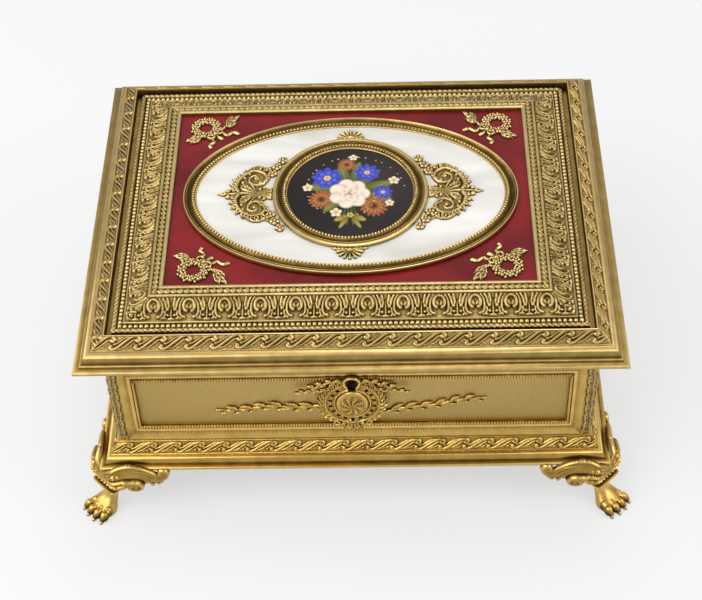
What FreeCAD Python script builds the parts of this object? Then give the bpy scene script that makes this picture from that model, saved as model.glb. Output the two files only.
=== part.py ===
import math
import os

import FreeCAD, Part

os.makedirs("parts", exist_ok=True)
V = FreeCAD.Vector

# Jewel casket in gilt bronze with an enamel and pearl lid. Millimetres, +Z up, front faces -Y,
# origin on the table under the middle of the casket.

# Overall sizes; the lid grows outwards from its oval, as a frame is made round its picture
oval_length = 180.8
oval_breadth = 121.0
oval_end_margin = 5.2
oval_side_margin = 6.1
foot_height = 31.4
body_height = 82.1
lid_overhang = 13.0
plinth_inset = 2.8
lid_gap = 0.3

# Plinth moulding, read from its outer edge inwards
plinth_edge = 1.8
plinth_ledge = 2.6
plinth_torus_run = 3.6
plinth_torus_rise = 4.1
plinth_band_rise = 6.9
plinth_fillet = 0.5
plinth_seat = 7.0
plinth_shelf = 3.0
plinth_shelf_run = 6.0

# Walls, their recessed panels and the canted corners
wall_thickness = 4.0
cant = 5.5
stile_width = 9.1
rail_width = 11.4
bevel_margin = 1.0
bevel_depth = 1.6
panel_set_back = 2.6
panel_tongue = 2.0
wall_bead_radius = 1.1
pilaster_ridge_radius = 3.0
pilaster_ridge_stand = 1.2

# Rim under the lid
rim_height = 10.2
rim_reach = 2.0
rim_lip = 1.5
rim_band = 4.4

# Lid mouldings, insets from the lid's outer edge and heights above its underside
flange_thickness = 1.7
flange_ledge = 3.2
flange_step = 1.3
torus_start = 4.7
torus_foot = 4.2
band_start = 8.6
band_foot = 8.2
crest_start = 15.4
crest_height = 12.6
crest_width = 0.8
groove_floor = 7.0
groove_end = 19.3
core_edge = 12.0
core_thickness = 4.0
inner_seat = 18.6
rope_foot = 11.0
rope_width = 2.4
bead_width = 2.5
leaf_start = 25.5
leaf_foot = 12.1
leaf_end = 36.6
leaf_top = 17.8
bead_channel_start = 38.6
bead_channel_end = 42.0
bead_channel_height = 18.4
sight_edge = 44.4
sight_height = 19.1
inner_shell = 3.4
wave_pitch = 13.0
wave_height = 1.1
wave_half_width = 1.6
egg_pitch = 17.8
egg_height = 1.7
egg_half_width = 2.5
egg_half_length = 3.1
egg_rise = 8.3
relief_sides = 6
relief_sink = 0.3
relief_end_room = 4.0

# Enamel panel, pearl oval and roundel
panel_top = 17.0
enamel_thickness = 1.6
enamel_tongue = 3.0
oval_sides = 44
oval_frame_width = 7.5
oval_frame_height = 3.4
pearl_thickness = 1.4
pearl_tongue = 1.1
clasp_run = 11.0
roundel_frame_width = 8.0
roundel_height = 2.6
plaque_tongue = 1.0
plaque_edge = 1.0
plaque_dome = 1.2
dome_sides = 34

# Applied mounts on the lid
leaf_stations = (0.0, 0.3, 0.65, 1.0)
leaf_belly = 0.8
leaf_tip = 0.12
ring_sides = 12
bud_sides = 8
mount_thickness = 1.5
scroll_reach = 28.0
scroll_radius = 9.4
scroll_wire = 3.2
rosette_radius = 2.9
rosette_count = 3
rosette_run = 16.13
rosette_pitch = 4.84
mount_room = 0.05
clasp_room = 3.0
clasp_span = 8.2
wreath_radius = 7.7
wreath_wire = 2.6
wreath_inset_x = 14.5
wreath_inset_y = 11.5
spray_length = 16.0
ribbon_length = 13.0

# Escutcheon and sprigs on the front
escutcheon_lift = 1.05
escutcheon_thickness = 1.6
escutcheon_half_width = 14.6
escutcheon_rail_room = 1.85
pierced_inset = 3.0
pierced_count = 18
pierced_size = 1.7
boss_inset_x = 6.2
boss_inset_z = 5.8
boss_stand = 2.6
keyhole_below_rim = 12.0
keyhole_radius = 3.1
keyhole_slot = 1.6
keyhole_drop = 6.3
keyhole_depth = 12.0
stud_radius = 1.1
crown_radius = 6.1
plate_bevel = 0.8
plate_sides = 20
spray_run = 20.0
twig_run = 21.0
side_leaf_run = 10.5
fan_run = 13.0
fan_inset = 3.0
sprig_length = 54.0
sprig_thickness = 1.2
sprig_leaves = 7
sprig_leaf_length = 8.4
sprig_leaf_width = 3.2
sprig_wave = 1.3
sprig_left_root = -4.2
sprig_left_rise = -3.8
sprig_rail_room = 6.05
sprig_right_rise = 11.4

# Lion's paw feet
foot_pad = 24.0
foot_pad_inset = 1.5
foot_pad_thickness = 3.0
ankle_radius = 4.6
ankle_height = 11.0
ankle_set_back = 3.3
collar_height = 16.4
collar_thickness = 1.0
collar_half_width = 8.6
paw_half_length = 9.8
paw_half_width = 8.0
paw_height = 6.8
paw_reach = 4.6
toe_groove = 1.5
wing_length = 34.0
wing_rise = 13.8
wing_thickness = 4.6
wing_top_gap = 3.1
wing_set_back = 0.6
volute_radius = 4.2
volute_run = 21.0
volute_rise = 18.6
volute_sides = 10
bracket_thickness = 2.4
web_drop = 7.0
screw_sides = 6
foot_screw_inset = 17.2
foot_screw_radius = 1.6
foot_screw_head = 3.2
foot_screw_sink = 1.6
foot_screw_depth = 8.0

# Lining
lining_thickness = 4.0
lining_edge = 3.0
lining_gap = 0.3
lining_top_gap = 3.0
cushion_height = 8.0
cushion_crown = 1.6
pad_height = 6.0
pad_margin = 8.0
soft_corner = 6.0
soft_draw = 0.8
soft_points = 4

# Hinges
hinge_spacing = 140.0
hinge_length = 36.0
hinge_leaf = 1.2
hinge_leaf_run = 8.0
knuckle_radius = 2.2
barrel_sides = 10
hinge_pin_radius = 1.0
hinge_running_fit = 0.05
hinge_stand = 2.5
knuckle_gap = 0.3
knuckle_room = 0.4
hinge_screw_radius = 0.8
hinge_screw_length = 5.0
lid_screw_length = 3.5

# Lock
lock_width = 40.0
lock_height = 36.0
lock_depth = 9.0
lock_sheet = 1.2
lock_room = 0.7
staple_thickness = 2.4
staple_width = 5.2
staple_drop = 12.0
staple_wall = 1.2
staple_plate_length = 26.0
bolt_height = 5.0
bolt_thickness = 2.2
bolt_length = 15.0
bolt_rest_gap = 1.0
bolt_guide = 1.5
bolt_fit = 0.2
lock_screw_radius = 0.9
lock_screw_head = 1.6
lock_screw_bite = 1.2
lock_screw_rise = 0.8
lock_ear = 2.8
lock_ear_inset = 3.4
key_post_radius = 1.1
key_post_set_back = 2.0

# Levels and half sizes that follow from the sizes above
lid_width = oval_length + 2 * (oval_end_margin + sight_edge)
lid_depth = oval_breadth + 2 * (oval_side_margin + sight_edge)
half_w = lid_width / 2
half_d = lid_depth / 2
wall_x = half_w - lid_overhang
wall_y = half_d - lid_overhang
plinth_x = half_w - plinth_inset
plinth_y = half_d - plinth_inset
wall_inset = lid_overhang - plinth_inset
plinth_band_run = wall_inset - plinth_ledge - plinth_torus_run - plinth_fillet
torus_z = plinth_edge + 0.2
band_z = torus_z + plinth_torus_rise
plinth_top = band_z + plinth_band_rise + plinth_fillet
z_plinth = foot_height
z_lid = foot_height + body_height
z_rim_top = z_lid - lid_gap
z_wall_top = z_rim_top - rim_height
z_seat = z_plinth + plinth_seat
z_shelf = z_plinth + plinth_shelf
z_face = z_plinth + plinth_top
z_panel = z_lid + panel_top
z_pearl = z_panel + pearl_thickness
inner_x = wall_x - wall_thickness
inner_y = wall_y - wall_thickness
window_bottom = z_face + rail_width
window_top = z_wall_top - rail_width
window_half = (window_top - window_bottom) / 2
z_escutcheon = window_bottom + window_half + escutcheon_lift
z_keyhole = z_wall_top - keyhole_below_rim
keyhole_above = z_keyhole - z_escutcheon
escutcheon_half_rise = window_half - escutcheon_rail_room
pierced_half_width = escutcheon_half_width - pierced_inset
pierced_half_rise = escutcheon_half_rise - pierced_inset
boss_half_width = escutcheon_half_width - boss_inset_x
boss_half_rise = escutcheon_half_rise - boss_inset_z
fan_root = fan_inset - escutcheon_half_rise
sprig_right_root = sprig_rail_room - window_half
rim_x = wall_x + rim_reach
rim_y = wall_y + rim_reach
axis_y = rim_y + hinge_stand
axis_z = (z_rim_top + z_lid) / 2
lock_x = lock_width / 2
lock_y = -inner_y
z_lock = z_rim_top - lock_height
lock_mid_y = lock_y + lock_depth / 2


def save(name, shape):
    shape.exportStep("parts/" + name + ".step")
    print(name, len(shape.Solids), round(shape.Volume, 1))


def outline(points):
    # Closed wire through inset and height pairs; four numbers make an arc through the first pair
    edges = []
    start = V(0, points[0][0], points[0][1])
    here = start
    for p in points[1:]:
        there = V(0, p[-2], p[-1])
        if len(p) == 4:
            edges.append(Part.Arc(here, V(0, p[0], p[1]), there).toShape())
        else:
            edges.append(Part.makeLine(here, there))
        here = there
    edges.append(Part.makeLine(here, start))
    return Part.Wire(edges)


def mitred_frame(points, width, depth, z):
    # One moulding carried round a rectangle and mitred at its corners
    face = Part.Face(outline(points))
    reach = min(width, depth) / 2 - 1
    sides = []
    for k in range(4):
        length, across = (width, depth) if k % 2 == 0 else (depth, width)
        bar = face.copy()
        bar.translate(V(-length / 2, -across / 2, z))
        bar = bar.extrude(V(length, 0, 0))
        plan = [V(-length / 2, -across / 2), V(length / 2, -across / 2)]
        plan += [V(length / 2 - reach, -across / 2 + reach), V(-length / 2 + reach, -across / 2 + reach)]
        wedge = Part.Face(Part.makePolygon(plan + plan[:1])).extrude(V(0, 0, 3 * body_height))
        wedge.translate(V(0, 0, z - body_height))
        side = bar.common(wedge)
        side.rotate(V(), V(0, 0, 1), 90 * k)
        sides.append(side)
    return sides[0].fuse(sides[1:]).removeSplitter()


def block(x0, x1, y0, y1, z0, z1):
    return Part.makeBox(x1 - x0, y1 - y0, z1 - z0, V(x0, y0, z0))


def rod(radius, start, end):
    line = end - start
    return Part.makeCylinder(radius, line.Length, start, line)


def prism(radius, start, end, sides=None):
    # Rod with few flat sides, for screws and studs
    line = end - start
    sides = sides or screw_sides
    turns = [2 * math.pi * (k + 0.5) / sides for k in range(sides + 1)]
    plan = Part.makePolygon([V(radius * math.cos(q), radius * math.sin(q), 0) for q in turns])
    body = Part.Face(plan).extrude(V(0, 0, line.Length))
    body.Placement = FreeCAD.Placement(start, FreeCAD.Rotation(V(0, 0, 1), line))
    return body


def barrel(radius, start, end):
    return prism(radius, start, end, barrel_sides)


def fuse(shapes):
    return shapes[0].fuse(shapes[1:]).removeSplitter()


def skin(sections):
    # Solid of flat facets through sections with as many points each, closed by its two ends
    faces = []
    for low, high in zip(sections, sections[1:]):
        for k in range(len(low)):
            a, b, c, d = low[k - 1], low[k], high[k], high[k - 1]
            for corners in ((a, b, c), (a, c, d)):
                faces.append(Part.Face(Part.makePolygon([*corners, corners[0]])))
    for end in (sections[0], sections[-1]):
        faces.append(Part.Face(Part.makePolygon(end + end[:1])))
    shell = Part.makeShell(faces)
    shell.sewShape()
    body = Part.makeSolid(shell)
    if body.Volume < 0:
        body.reverse()
    return body


def polygon(x, y, rx, ry, z, sides):
    # Level oval as a regular polygon
    turns = [2 * math.pi * (k + 0.5) / sides for k in range(sides)]
    return [V(x + rx * math.cos(q), y + ry * math.sin(q), z) for q in turns]


def leaf(x, y, length, width, angle, height):
    # Pointed leaf from its stalk end, its back rising from both edges to a midrib
    sections = []
    for t in leaf_stations:
        half = width / 2 * (leaf_tip + (1 - leaf_tip) * math.sin(math.pi * t ** leaf_belly))
        rib = height * (0.6 + 0.4 * math.sin(math.pi * t ** leaf_belly))
        sections.append([V(length * t, -half, 0), V(length * t, half, 0), V(length * t, 0, rib)])
    body = skin(sections)
    body.rotate(V(), V(0, 0, 1), angle)
    body.translate(V(x, y, 0))
    return body


def ring(x, y, outer, wire, height):
    # Ring with a sloping outer and inner shoulder
    half = wire / 2
    mid = outer - half
    top = half * 0.4
    body = skin([polygon(x, y, mid + r, mid + r, z, ring_sides) for r, z in ((half, 0), (top, height))])
    hole = skin([polygon(x, y, mid - r, mid - r, z, ring_sides) for r, z in ((half, 0), (top, height))])
    return body.cut(hole)


def bud(x, y, radius, height):
    # Small rosette as a low frustum
    return skin([polygon(x, y, r, r, z, bud_sides) for r, z in ((radius, 0), (radius * 0.6, height))])


def stand_up(shape, y):
    # Turn a relief laid out flat in X and Y so that it stands on the front, facing -Y
    copy = shape.copy()
    copy.rotate(V(), V(1, 0, 0), 90)
    copy.translate(V(0, y, 0))
    return copy


def soft_plan(half_x, half_y, radius, z):
    # Rectangle with rounded corners and sides drawn in a little between them
    arcs = []
    for sx, sy, turn in ((1, 1, 0), (-1, 1, 90), (-1, -1, 180), (1, -1, 270)):
        c = V(sx * (half_x - radius), sy * (half_y - radius), z)
        turns = [math.radians(turn + q) for q in (0, 45, 90)]
        arcs.append([c + V(math.cos(q), math.sin(q), 0) * radius for q in turns])
    edges = []
    for k in range(4):
        start, end = arcs[k][2], arcs[(k + 1) % 4][0]
        middle = (start + end) * 0.5
        inward = V(-middle.x, -middle.y, 0).normalize()
        edges.append(Part.Arc(*arcs[k]).toShape())
        edges.append(Part.Arc(start, middle + inward * soft_draw, end).toShape())
    return [p for edge in edges for p in edge.discretize(soft_points)[:-1]]


def soft_slab(half_x, half_y, levels):
    # Padded slab, each level an inset and a height
    return skin([soft_plan(half_x - i, half_y - i, soft_corner, z) for i, z in levels])


# Plinth moulding: edge, ledge, torus and sloping band, with a seat for the walls and a shelf for the floor
torus_mid = (plinth_ledge + plinth_torus_run * 0.2, torus_z + plinth_torus_rise * 0.72)
plinth_points = [
    (0.0, 0.0),
    (0.0, plinth_edge),
    (plinth_ledge, torus_z),
    (*torus_mid, plinth_ledge + plinth_torus_run, band_z),
    (plinth_ledge + plinth_torus_run + plinth_band_run, band_z + plinth_band_rise),
    (plinth_ledge + plinth_torus_run + plinth_band_run, plinth_top),
    (wall_inset, plinth_top),
    (wall_inset, plinth_seat),
    (wall_inset + wall_thickness, plinth_seat),
    (wall_inset + wall_thickness, plinth_shelf),
    (wall_inset + wall_thickness + plinth_shelf_run, plinth_shelf),
    (wall_inset + wall_thickness + plinth_shelf_run, 0.0),
]
plinth = mitred_frame(plinth_points, 2 * plinth_x, 2 * plinth_y, z_plinth)

# Floor plate on the plinth's shelf
floor_plate = block(-inner_x, inner_x, -inner_y, inner_y, z_shelf, z_seat)

# Screws that hold each foot, the plinth and the floor plate together
screws = []
screw_spots = []
for sx in (-1, 1):
    for sy in (-1, 1):
        screw_spots.append((sx * (plinth_x - foot_screw_inset), sy * (plinth_y - foot_screw_inset)))
for x, y in screw_spots:
    shank = prism(foot_screw_radius, V(x, y, z_plinth - foot_screw_depth), V(x, y, z_seat))
    head = prism(foot_screw_head, V(x, y, z_seat - foot_screw_sink), V(x, y, z_seat))
    screws.append(shank.fuse(head).removeSplitter())
foot_screws = Part.makeCompound(screws)
floor_plate = floor_plate.cut(foot_screws)
plinth = plinth.cut(foot_screws)
save("plinth_moulding", plinth)
save("floor_plate", floor_plate)
save("foot_screws", foot_screws)


def wing_outline(w, top, low):
    # Side view of a leafy wing, arched above and rolled into a volute below
    arcs = [
        (V(0.15 * w, low + 4.0), V(0.55 * w, top), V(0.96 * w, top - 6.4), 7),
        (V(w, low + 3.2), V(0.86 * w, low + 5.2), V(0.74 * w, low + 4.9), 3),
        (V(0.74 * w, low + 4.9), V(0.62 * w, low), V(0.48 * w, low + 2.2), 5),
        (V(0.48 * w, low + 2.2), V(0.34 * w, low + 1.2), V(0.15 * w, low + 0.2), 3),
    ]
    points = []
    for a, m, b, count in arcs:
        stretch = Part.Arc(a, m, b).toShape().discretize(count)
        points += [p for p in stretch if not points or p.distanceToPoint(points[-1]) > 0.01]
    return points


def paw_section(middle, long, broad, z, groove):
    # Level section of the leg: an oval whose front is pressed in between four toes
    turns = [(-64, 0), (-47, 0), (-29, 1), (-14, 0), (0, 1), (14, 0), (29, 1), (47, 0), (64, 0)]
    turns += [(q, 0) for q in (90, 120, 150, 180, 210, 240, 270)]
    points = []
    for q, pressed in turns:
        x = long * math.cos(math.radians(q))
        y = broad * math.sin(math.radians(q))
        k = 1 - pressed * groove / math.hypot(x, y)
        points.append(V(middle + k * x, k * y, z))
    return points


def paw_foot():
    # Lion's paw set on the diagonal, laid out with +X outwards and the plinth's corner over the origin
    pl, pw, ph = paw_half_length, paw_half_width, paw_height
    ar, cw = ankle_radius, collar_half_width
    pad_low = foot_height - foot_pad_thickness
    collar_top = collar_height + collar_thickness
    levels = [
        (paw_reach, 0.9 * pl, 0.87 * pw, 0.0, 0.7 * toe_groove),
        (paw_reach, pl, pw, 0.32 * ph, toe_groove),
        (0.87 * paw_reach, 0.96 * pl, pw, 0.68 * ph, toe_groove),
        (0.43 * paw_reach, 0.82 * pl, 0.9 * pw, ph, 0.8 * toe_groove),
        (-0.5 * ankle_set_back, ar + 1.2, ar + 1.0, 0.57 * ph + 0.43 * ankle_height, 0.2 * toe_groove),
        (-ankle_set_back, ar, ar, ankle_height, 0.0),
        (-0.8 * ankle_set_back, ar + 0.4, 0.7 * cw, 0.37 * ankle_height + 0.63 * collar_height, 0.0),
        (-0.5 * ankle_set_back, ar + 1.4, cw, collar_height, 0.0),
        (-0.5 * ankle_set_back, ar + 1.2, 0.96 * cw, collar_top, 0.0),
        (-2.0 * ankle_set_back, ar + 1.2, 0.8 * cw, pad_low, 0.0),
    ]
    body = skin([paw_section(*level) for level in levels])
    body.rotate(V(), V(0, 0, 1), -45)
    # Leafy wings under both sides of the plinth, each with a volute and a scrolled bracket at its tip
    top = foot_height - wing_top_gap
    low = top - wing_rise
    w = wing_length
    back = wing_outline(w, top, low)
    middle = V(0.5 * w, low + 0.55 * wing_rise, 0)
    swell = ((1.0, -0.35 * wing_thickness), (1.0, 0.0), (0.9, 0.6 * wing_thickness), (0.66, wing_thickness))
    wing = skin([[middle + (p - middle) * k + V(0, 0, y) for p in back] for k, y in swell])
    vr = volute_radius
    roll = ((vr, 0.0), (0.9 * vr, 0.8 * wing_thickness), (0.5 * vr, wing_thickness))
    volute = skin([polygon(volute_run, volute_rise, r, r, z, volute_sides) for r, z in roll])
    strap = [V(0.84 * w, top - 0.43 * wing_rise, 0), V(0.98 * w, low + 0.36 * wing_rise, 0)]
    strap += [V(1.04 * w, foot_height - 1.3 * wing_top_gap, 0)]
    strap += [V(w, foot_height, 0), V(0.9 * w, foot_height, 0)]
    bracket = Part.Face(Part.makePolygon(strap + strap[:1])).extrude(V(0, 0, -bracket_thickness))
    side = fuse([wing, volute, bracket])
    side.rotate(V(), V(1, 0, 0), 90)
    side = side.mirror(V(), V(1, 0, 0))
    side.translate(V(0, -wing_set_back, 0))
    pad = block(-foot_pad, -foot_pad_inset, foot_pad_inset, foot_pad, pad_low, foot_height)
    web_at = foot_screw_inset - foot_pad_inset
    web_radius = foot_screw_radius + foot_screw_head
    web_levels = ((1.25 * web_radius, pad_low - web_drop), (1.9 * web_radius, pad_low))
    web = skin([polygon(-web_at, web_at, r, r, z, screw_sides) for r, z in web_levels])
    return body.fuse([side, side.mirror(V(), V(1, 1, 0)), pad, web]).removeSplitter()


foot_shape = paw_foot()
for side_name, sx in (("left", -1), ("right", 1)):
    for end_name, sy in (("front", -1), ("back", 1)):
        foot = foot_shape.copy()
        foot.translate(V(plinth_x, -plinth_y, 0))
        if sx < 0:
            foot = foot.mirror(V(), V(1, 0, 0))
        if sy > 0:
            foot = foot.mirror(V(), V(0, 1, 0))
        save("foot_" + end_name + "_" + side_name, foot.cut(foot_screws))


def wall_frame(half_length):
    # Wall laid along X with its outer face on y=0: mitred bevel round a window, bead at the sight edge
    wx = half_length - stile_width
    body = block(-half_length, half_length, 0, wall_thickness, z_seat, z_wall_top)
    sight = block(-wx, wx, -1, wall_thickness + 1, window_bottom, window_top)
    rebate = block(-wx - panel_tongue, wx + panel_tongue, panel_set_back, wall_thickness + 1,
                   window_bottom - panel_tongue, window_top + panel_tongue)

    def rim_wire(hx, low, high, y):
        pts = [V(-hx, y, low), V(hx, y, low), V(hx, y, high), V(-hx, y, high)]
        return Part.makePolygon(pts + pts[:1])

    slope = Part.makeLoft([
        rim_wire(half_length - bevel_margin, z_face + bevel_margin, z_wall_top - bevel_margin, 0),
        rim_wire(wx, window_bottom, window_top, bevel_depth),
    ], True, True)
    body = body.cut(sight.fuse([rebate, slope]))
    r = wall_bead_radius
    beads = []
    for z in (window_bottom - r, window_top + r):
        beads.append(prism(r, V(-wx - r, bevel_depth, z), V(wx + r, bevel_depth, z)))
    for x in (-wx - r, wx + r):
        beads.append(prism(r, V(x, bevel_depth, window_bottom - r), V(x, bevel_depth, window_top + r)))
    return body.fuse(beads).cut(rebate).removeSplitter()


def wall_panel(half_length):
    # Plain field plate held in the frame's rebate from behind
    wx = half_length - stile_width + panel_tongue
    low = window_bottom - panel_tongue
    return block(-wx, wx, panel_set_back, wall_thickness, low, window_top + panel_tongue)


# Keyhole: round above, tapering slot below, along Y
key_back = lock_y + lock_sheet + bolt_fit / 2
key_front = key_back - keyhole_depth
shoulder = keyhole_radius * 0.8
key_slot = [V(-shoulder, key_front, z_keyhole), V(shoulder, key_front, z_keyhole)]
key_slot += [V(x, key_front, z_keyhole - keyhole_drop) for x in (keyhole_slot, -keyhole_slot)]
key_cut = Part.Face(Part.makePolygon(key_slot + key_slot[:1])).extrude(V(0, keyhole_depth, 0))
key_cut = key_cut.fuse(rod(keyhole_radius, V(0, key_front, z_keyhole), V(0, key_back, z_keyhole)))

# Screws through the lock's four ears into the panel and the rim
ear_x = lock_x + lock_ear - bolt_fit
ear_levels = (z_lock + lock_ear_inset, z_rim_top - lock_ear_inset)
ear_spots = [(sx * ear_x, z) for sx in (-1, 1) for z in ear_levels]
lock_screws = []
for x, z in ear_spots:
    plate_y = lock_y + lock_sheet
    shank = prism(lock_screw_radius, V(x, lock_y - lock_screw_bite, z), V(x, plate_y, z))
    head = prism(lock_screw_head, V(x, plate_y, z), V(x, plate_y + lock_screw_rise, z))
    lock_screws.append(shank.fuse(head).removeSplitter())
lock_screws = Part.makeCompound(lock_screws)

for name, half_length, turn, reach in (
    ("front", wall_x - cant, 0, wall_y),
    ("right", wall_y - cant, 90, wall_x),
    ("back", wall_x - cant, 180, wall_y),
    ("left", wall_y - cant, 270, wall_x),
):
    for kind, shape in (("wall_", wall_frame(half_length)), ("panel_", wall_panel(half_length))):
        shape.translate(V(0, -reach, 0))
        shape.rotate(V(), V(0, 0, 1), turn)
        if name == "front":
            shape = shape.cut(key_cut).cut(lock_screws)
        save(kind + name, shape)

# Canted corner strips between the walls, each with a raised leafy ridge
for end_name, sy in (("front", -1), ("back", 1)):
    for side_name, sx in (("left", -1), ("right", 1)):
        plan = [V(wall_x - cant, wall_y), V(wall_x, wall_y - cant), V(inner_x, wall_y - cant)]
        plan += [V(inner_x, inner_y), V(wall_x - cant, inner_y)]
        post = Part.Face(Part.makePolygon(plan + plan[:1])).extrude(V(0, 0, z_wall_top - z_seat))
        post.translate(V(0, 0, z_seat))
        sink = pilaster_ridge_radius - pilaster_ridge_stand
        mid = V(wall_x - cant / 2, wall_y - cant / 2) - V(1, 1).normalize() * sink
        ridge = rod(pilaster_ridge_radius, mid + V(0, 0, z_face), mid + V(0, 0, z_wall_top - rim_lip))
        outer = block(0, half_w, 0, half_d, z_face, z_wall_top)
        inside = block(0, inner_x, 0, inner_y, z_seat, z_wall_top)
        side_x = block(0, wall_x - cant, 0, half_d, z_seat, z_wall_top)
        side_y = block(0, half_w, 0, wall_y - cant, z_seat, z_wall_top)
        ridge = ridge.common(outer).cut(inside.fuse([side_x, side_y]))
        post = post.fuse(ridge).removeSplitter()
        if sx < 0:
            post = post.mirror(V(), V(1, 0, 0))
        if sy < 0:
            post = post.mirror(V(), V(0, 1, 0))
        save("pilaster_" + end_name + "_" + side_name, post)

# Rim that ties the tops of the walls: flat band, cove and a small lip over the wall faces
rim_points = [
    (0.0, rim_height),
    (0.0, rim_height - rim_band),
    (rim_reach * 0.7, (rim_height - rim_band) * 0.5, rim_reach - 0.8, 0.0),
    (rim_reach - 0.8, -rim_lip),
    (rim_reach, -rim_lip),
    (rim_reach, 0.0),
    (rim_reach + wall_thickness, 0.0),
    (rim_reach + wall_thickness, rim_height),
]
rim = mitred_frame(rim_points, 2 * rim_x, 2 * rim_y, z_wall_top)

# Butt hinges, each with two case knuckles and one lid knuckle on its own pin
case_leaves, lid_leaves, pins = [], [], []
case_screws, lid_screws = [], []
knuckle_room_cut = []
leaf_cut_case, leaf_cut_lid = [], []
third = hinge_length / 3
for hx in (-hinge_spacing / 2, hinge_spacing / 2):
    x0 = hx - hinge_length / 2
    x1 = hx + hinge_length / 2
    pin = rod(hinge_pin_radius, V(x0, axis_y, axis_z), V(x1, axis_y, axis_z))
    tight = rod(hinge_pin_radius, V(x0 - 1, axis_y, axis_z), V(x1 + 1, axis_y, axis_z))
    loose = rod(hinge_pin_radius + hinge_running_fit, V(x0 - 1, axis_y, axis_z), V(x1 + 1, axis_y, axis_z))
    plate = block(x0, x1, rim_y - rim_reach - wall_thickness + 1, rim_y, z_rim_top - hinge_leaf, z_rim_top)
    leaf_cut_case.append(plate)
    shapes = [plate]
    for a, b in ((x0, x0 + third - knuckle_gap), (x1 - third + knuckle_gap, x1)):
        shapes.append(barrel(knuckle_radius, V(a, axis_y, axis_z), V(b, axis_y, axis_z)))
        shapes.append(block(a, b, rim_y - 1, axis_y, z_rim_top - hinge_leaf, z_rim_top))
    case_leaves.append(fuse(shapes).cut(tight))
    knuckle_y = axis_y - knuckle_radius
    plate = block(x0, x1, knuckle_y - hinge_leaf_run, knuckle_y, z_lid, z_lid + hinge_leaf)
    leaf_cut_lid.append(plate)
    a, b = x0 + third, x1 - third
    eye = barrel(knuckle_radius, V(a, axis_y, axis_z), V(b, axis_y, axis_z))
    tongue = block(a, b, knuckle_y - 1, axis_y, z_lid, z_lid + hinge_leaf)
    leaf_cut_lid.append(tongue)
    lid_leaves.append(fuse([plate, eye, tongue]).cut(loose))
    pins.append(pin)
    room = knuckle_radius + knuckle_room
    room_start = V(x0 - knuckle_room, axis_y, axis_z)
    knuckle_room_cut.append(barrel(room, room_start, V(x1 + knuckle_room, axis_y, axis_z)))
    for k in (-1, 1):
        sx = hx + k * hinge_length * 0.36
        y = rim_y - rim_reach - wall_thickness / 2 + hinge_screw_radius
        foot = V(sx, y, z_rim_top - hinge_screw_length)
        case_screws.append(prism(hinge_screw_radius, foot, V(sx, y, z_rim_top)))
        y = knuckle_y - hinge_leaf_run * 0.6
        tip = V(sx, y, z_lid + lid_screw_length)
        lid_screws.append(prism(hinge_screw_radius, V(sx, y, z_lid), tip))
case_screws = Part.makeCompound(case_screws)
lid_screws = Part.makeCompound(lid_screws)
rim = rim.cut(leaf_cut_case).cut(case_screws).cut(lock_screws)
save("rim_moulding", rim)
save("hinge_case_leaves", Part.makeCompound([s.cut(case_screws) for s in case_leaves]))
save("hinge_lid_leaves", Part.makeCompound([s.cut(lid_screws) for s in lid_leaves]))
save("hinge_pins", Part.makeCompound(pins))
save("hinge_case_screws", case_screws)
save("hinge_lid_screws", lid_screws)


def slope_row(motif, first, last, pitch):
    # Copies of a motif set evenly along the four sides of a mitred slope of the lid
    lean = math.degrees(math.atan2(last[1] - first[1], last[0] - first[0]))
    row = []
    for k in range(4):
        length, across = (lid_width, lid_depth) if k % 2 == 0 else (lid_depth, lid_width)
        clear = length - 2 * (last[0] + relief_end_room)
        count = int(clear / pitch)
        for j in range(count):
            shape = motif.copy()
            shape.rotate(V(), V(1, 0, 0), lean)
            shape.translate(V(clear * ((j + 0.5) / count - 0.5), first[0] - across / 2, z_lid + first[1]))
            shape.rotate(V(), V(0, 0, 1), 90 * k)
            row.append(shape)
    return row


# Lid's outer moulding with its band of running waves, each a slanting ridge that swells from foot to curl
ovolo_mid = (torus_start + (band_start - torus_start) * 0.2, torus_foot + (band_foot - torus_foot) * 0.72)
outer_points = [
    (0.0, 0.0),
    (0.0, flange_thickness),
    (flange_ledge, flange_thickness + 0.2),
    (flange_ledge, flange_thickness + flange_step),
    (torus_start, torus_foot),
    (*ovolo_mid, band_start, band_foot),
    (crest_start, crest_height),
    (crest_start + crest_width, crest_height + 0.2),
    (crest_start + crest_width, groove_floor),
    (inner_seat, groove_floor),
    (inner_seat, core_thickness),
    (core_edge, core_thickness),
    (core_edge, 0.0),
]
band_rise = math.hypot(crest_start - band_start, crest_height - band_foot)
wave = []
for along, up, share in ((-0.48, 0.2, 0.5), (0.38, 0.78, 1.0)):
    x, y, half = along * wave_pitch, up * band_rise, share * wave_half_width
    wave.append([V(x, y - half, -relief_sink), V(x, y + half, -relief_sink), V(x, y, share * wave_height)])
waves = slope_row(skin(wave), (band_start, band_foot), (crest_start, crest_height), wave_pitch)
lid_outer = mitred_frame(outer_points, lid_width, lid_depth, z_lid).fuse(waves).removeSplitter()
lid_outer = lid_outer.cut(knuckle_room_cut).cut(leaf_cut_lid)
save("lid_outer_moulding", lid_outer)

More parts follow.
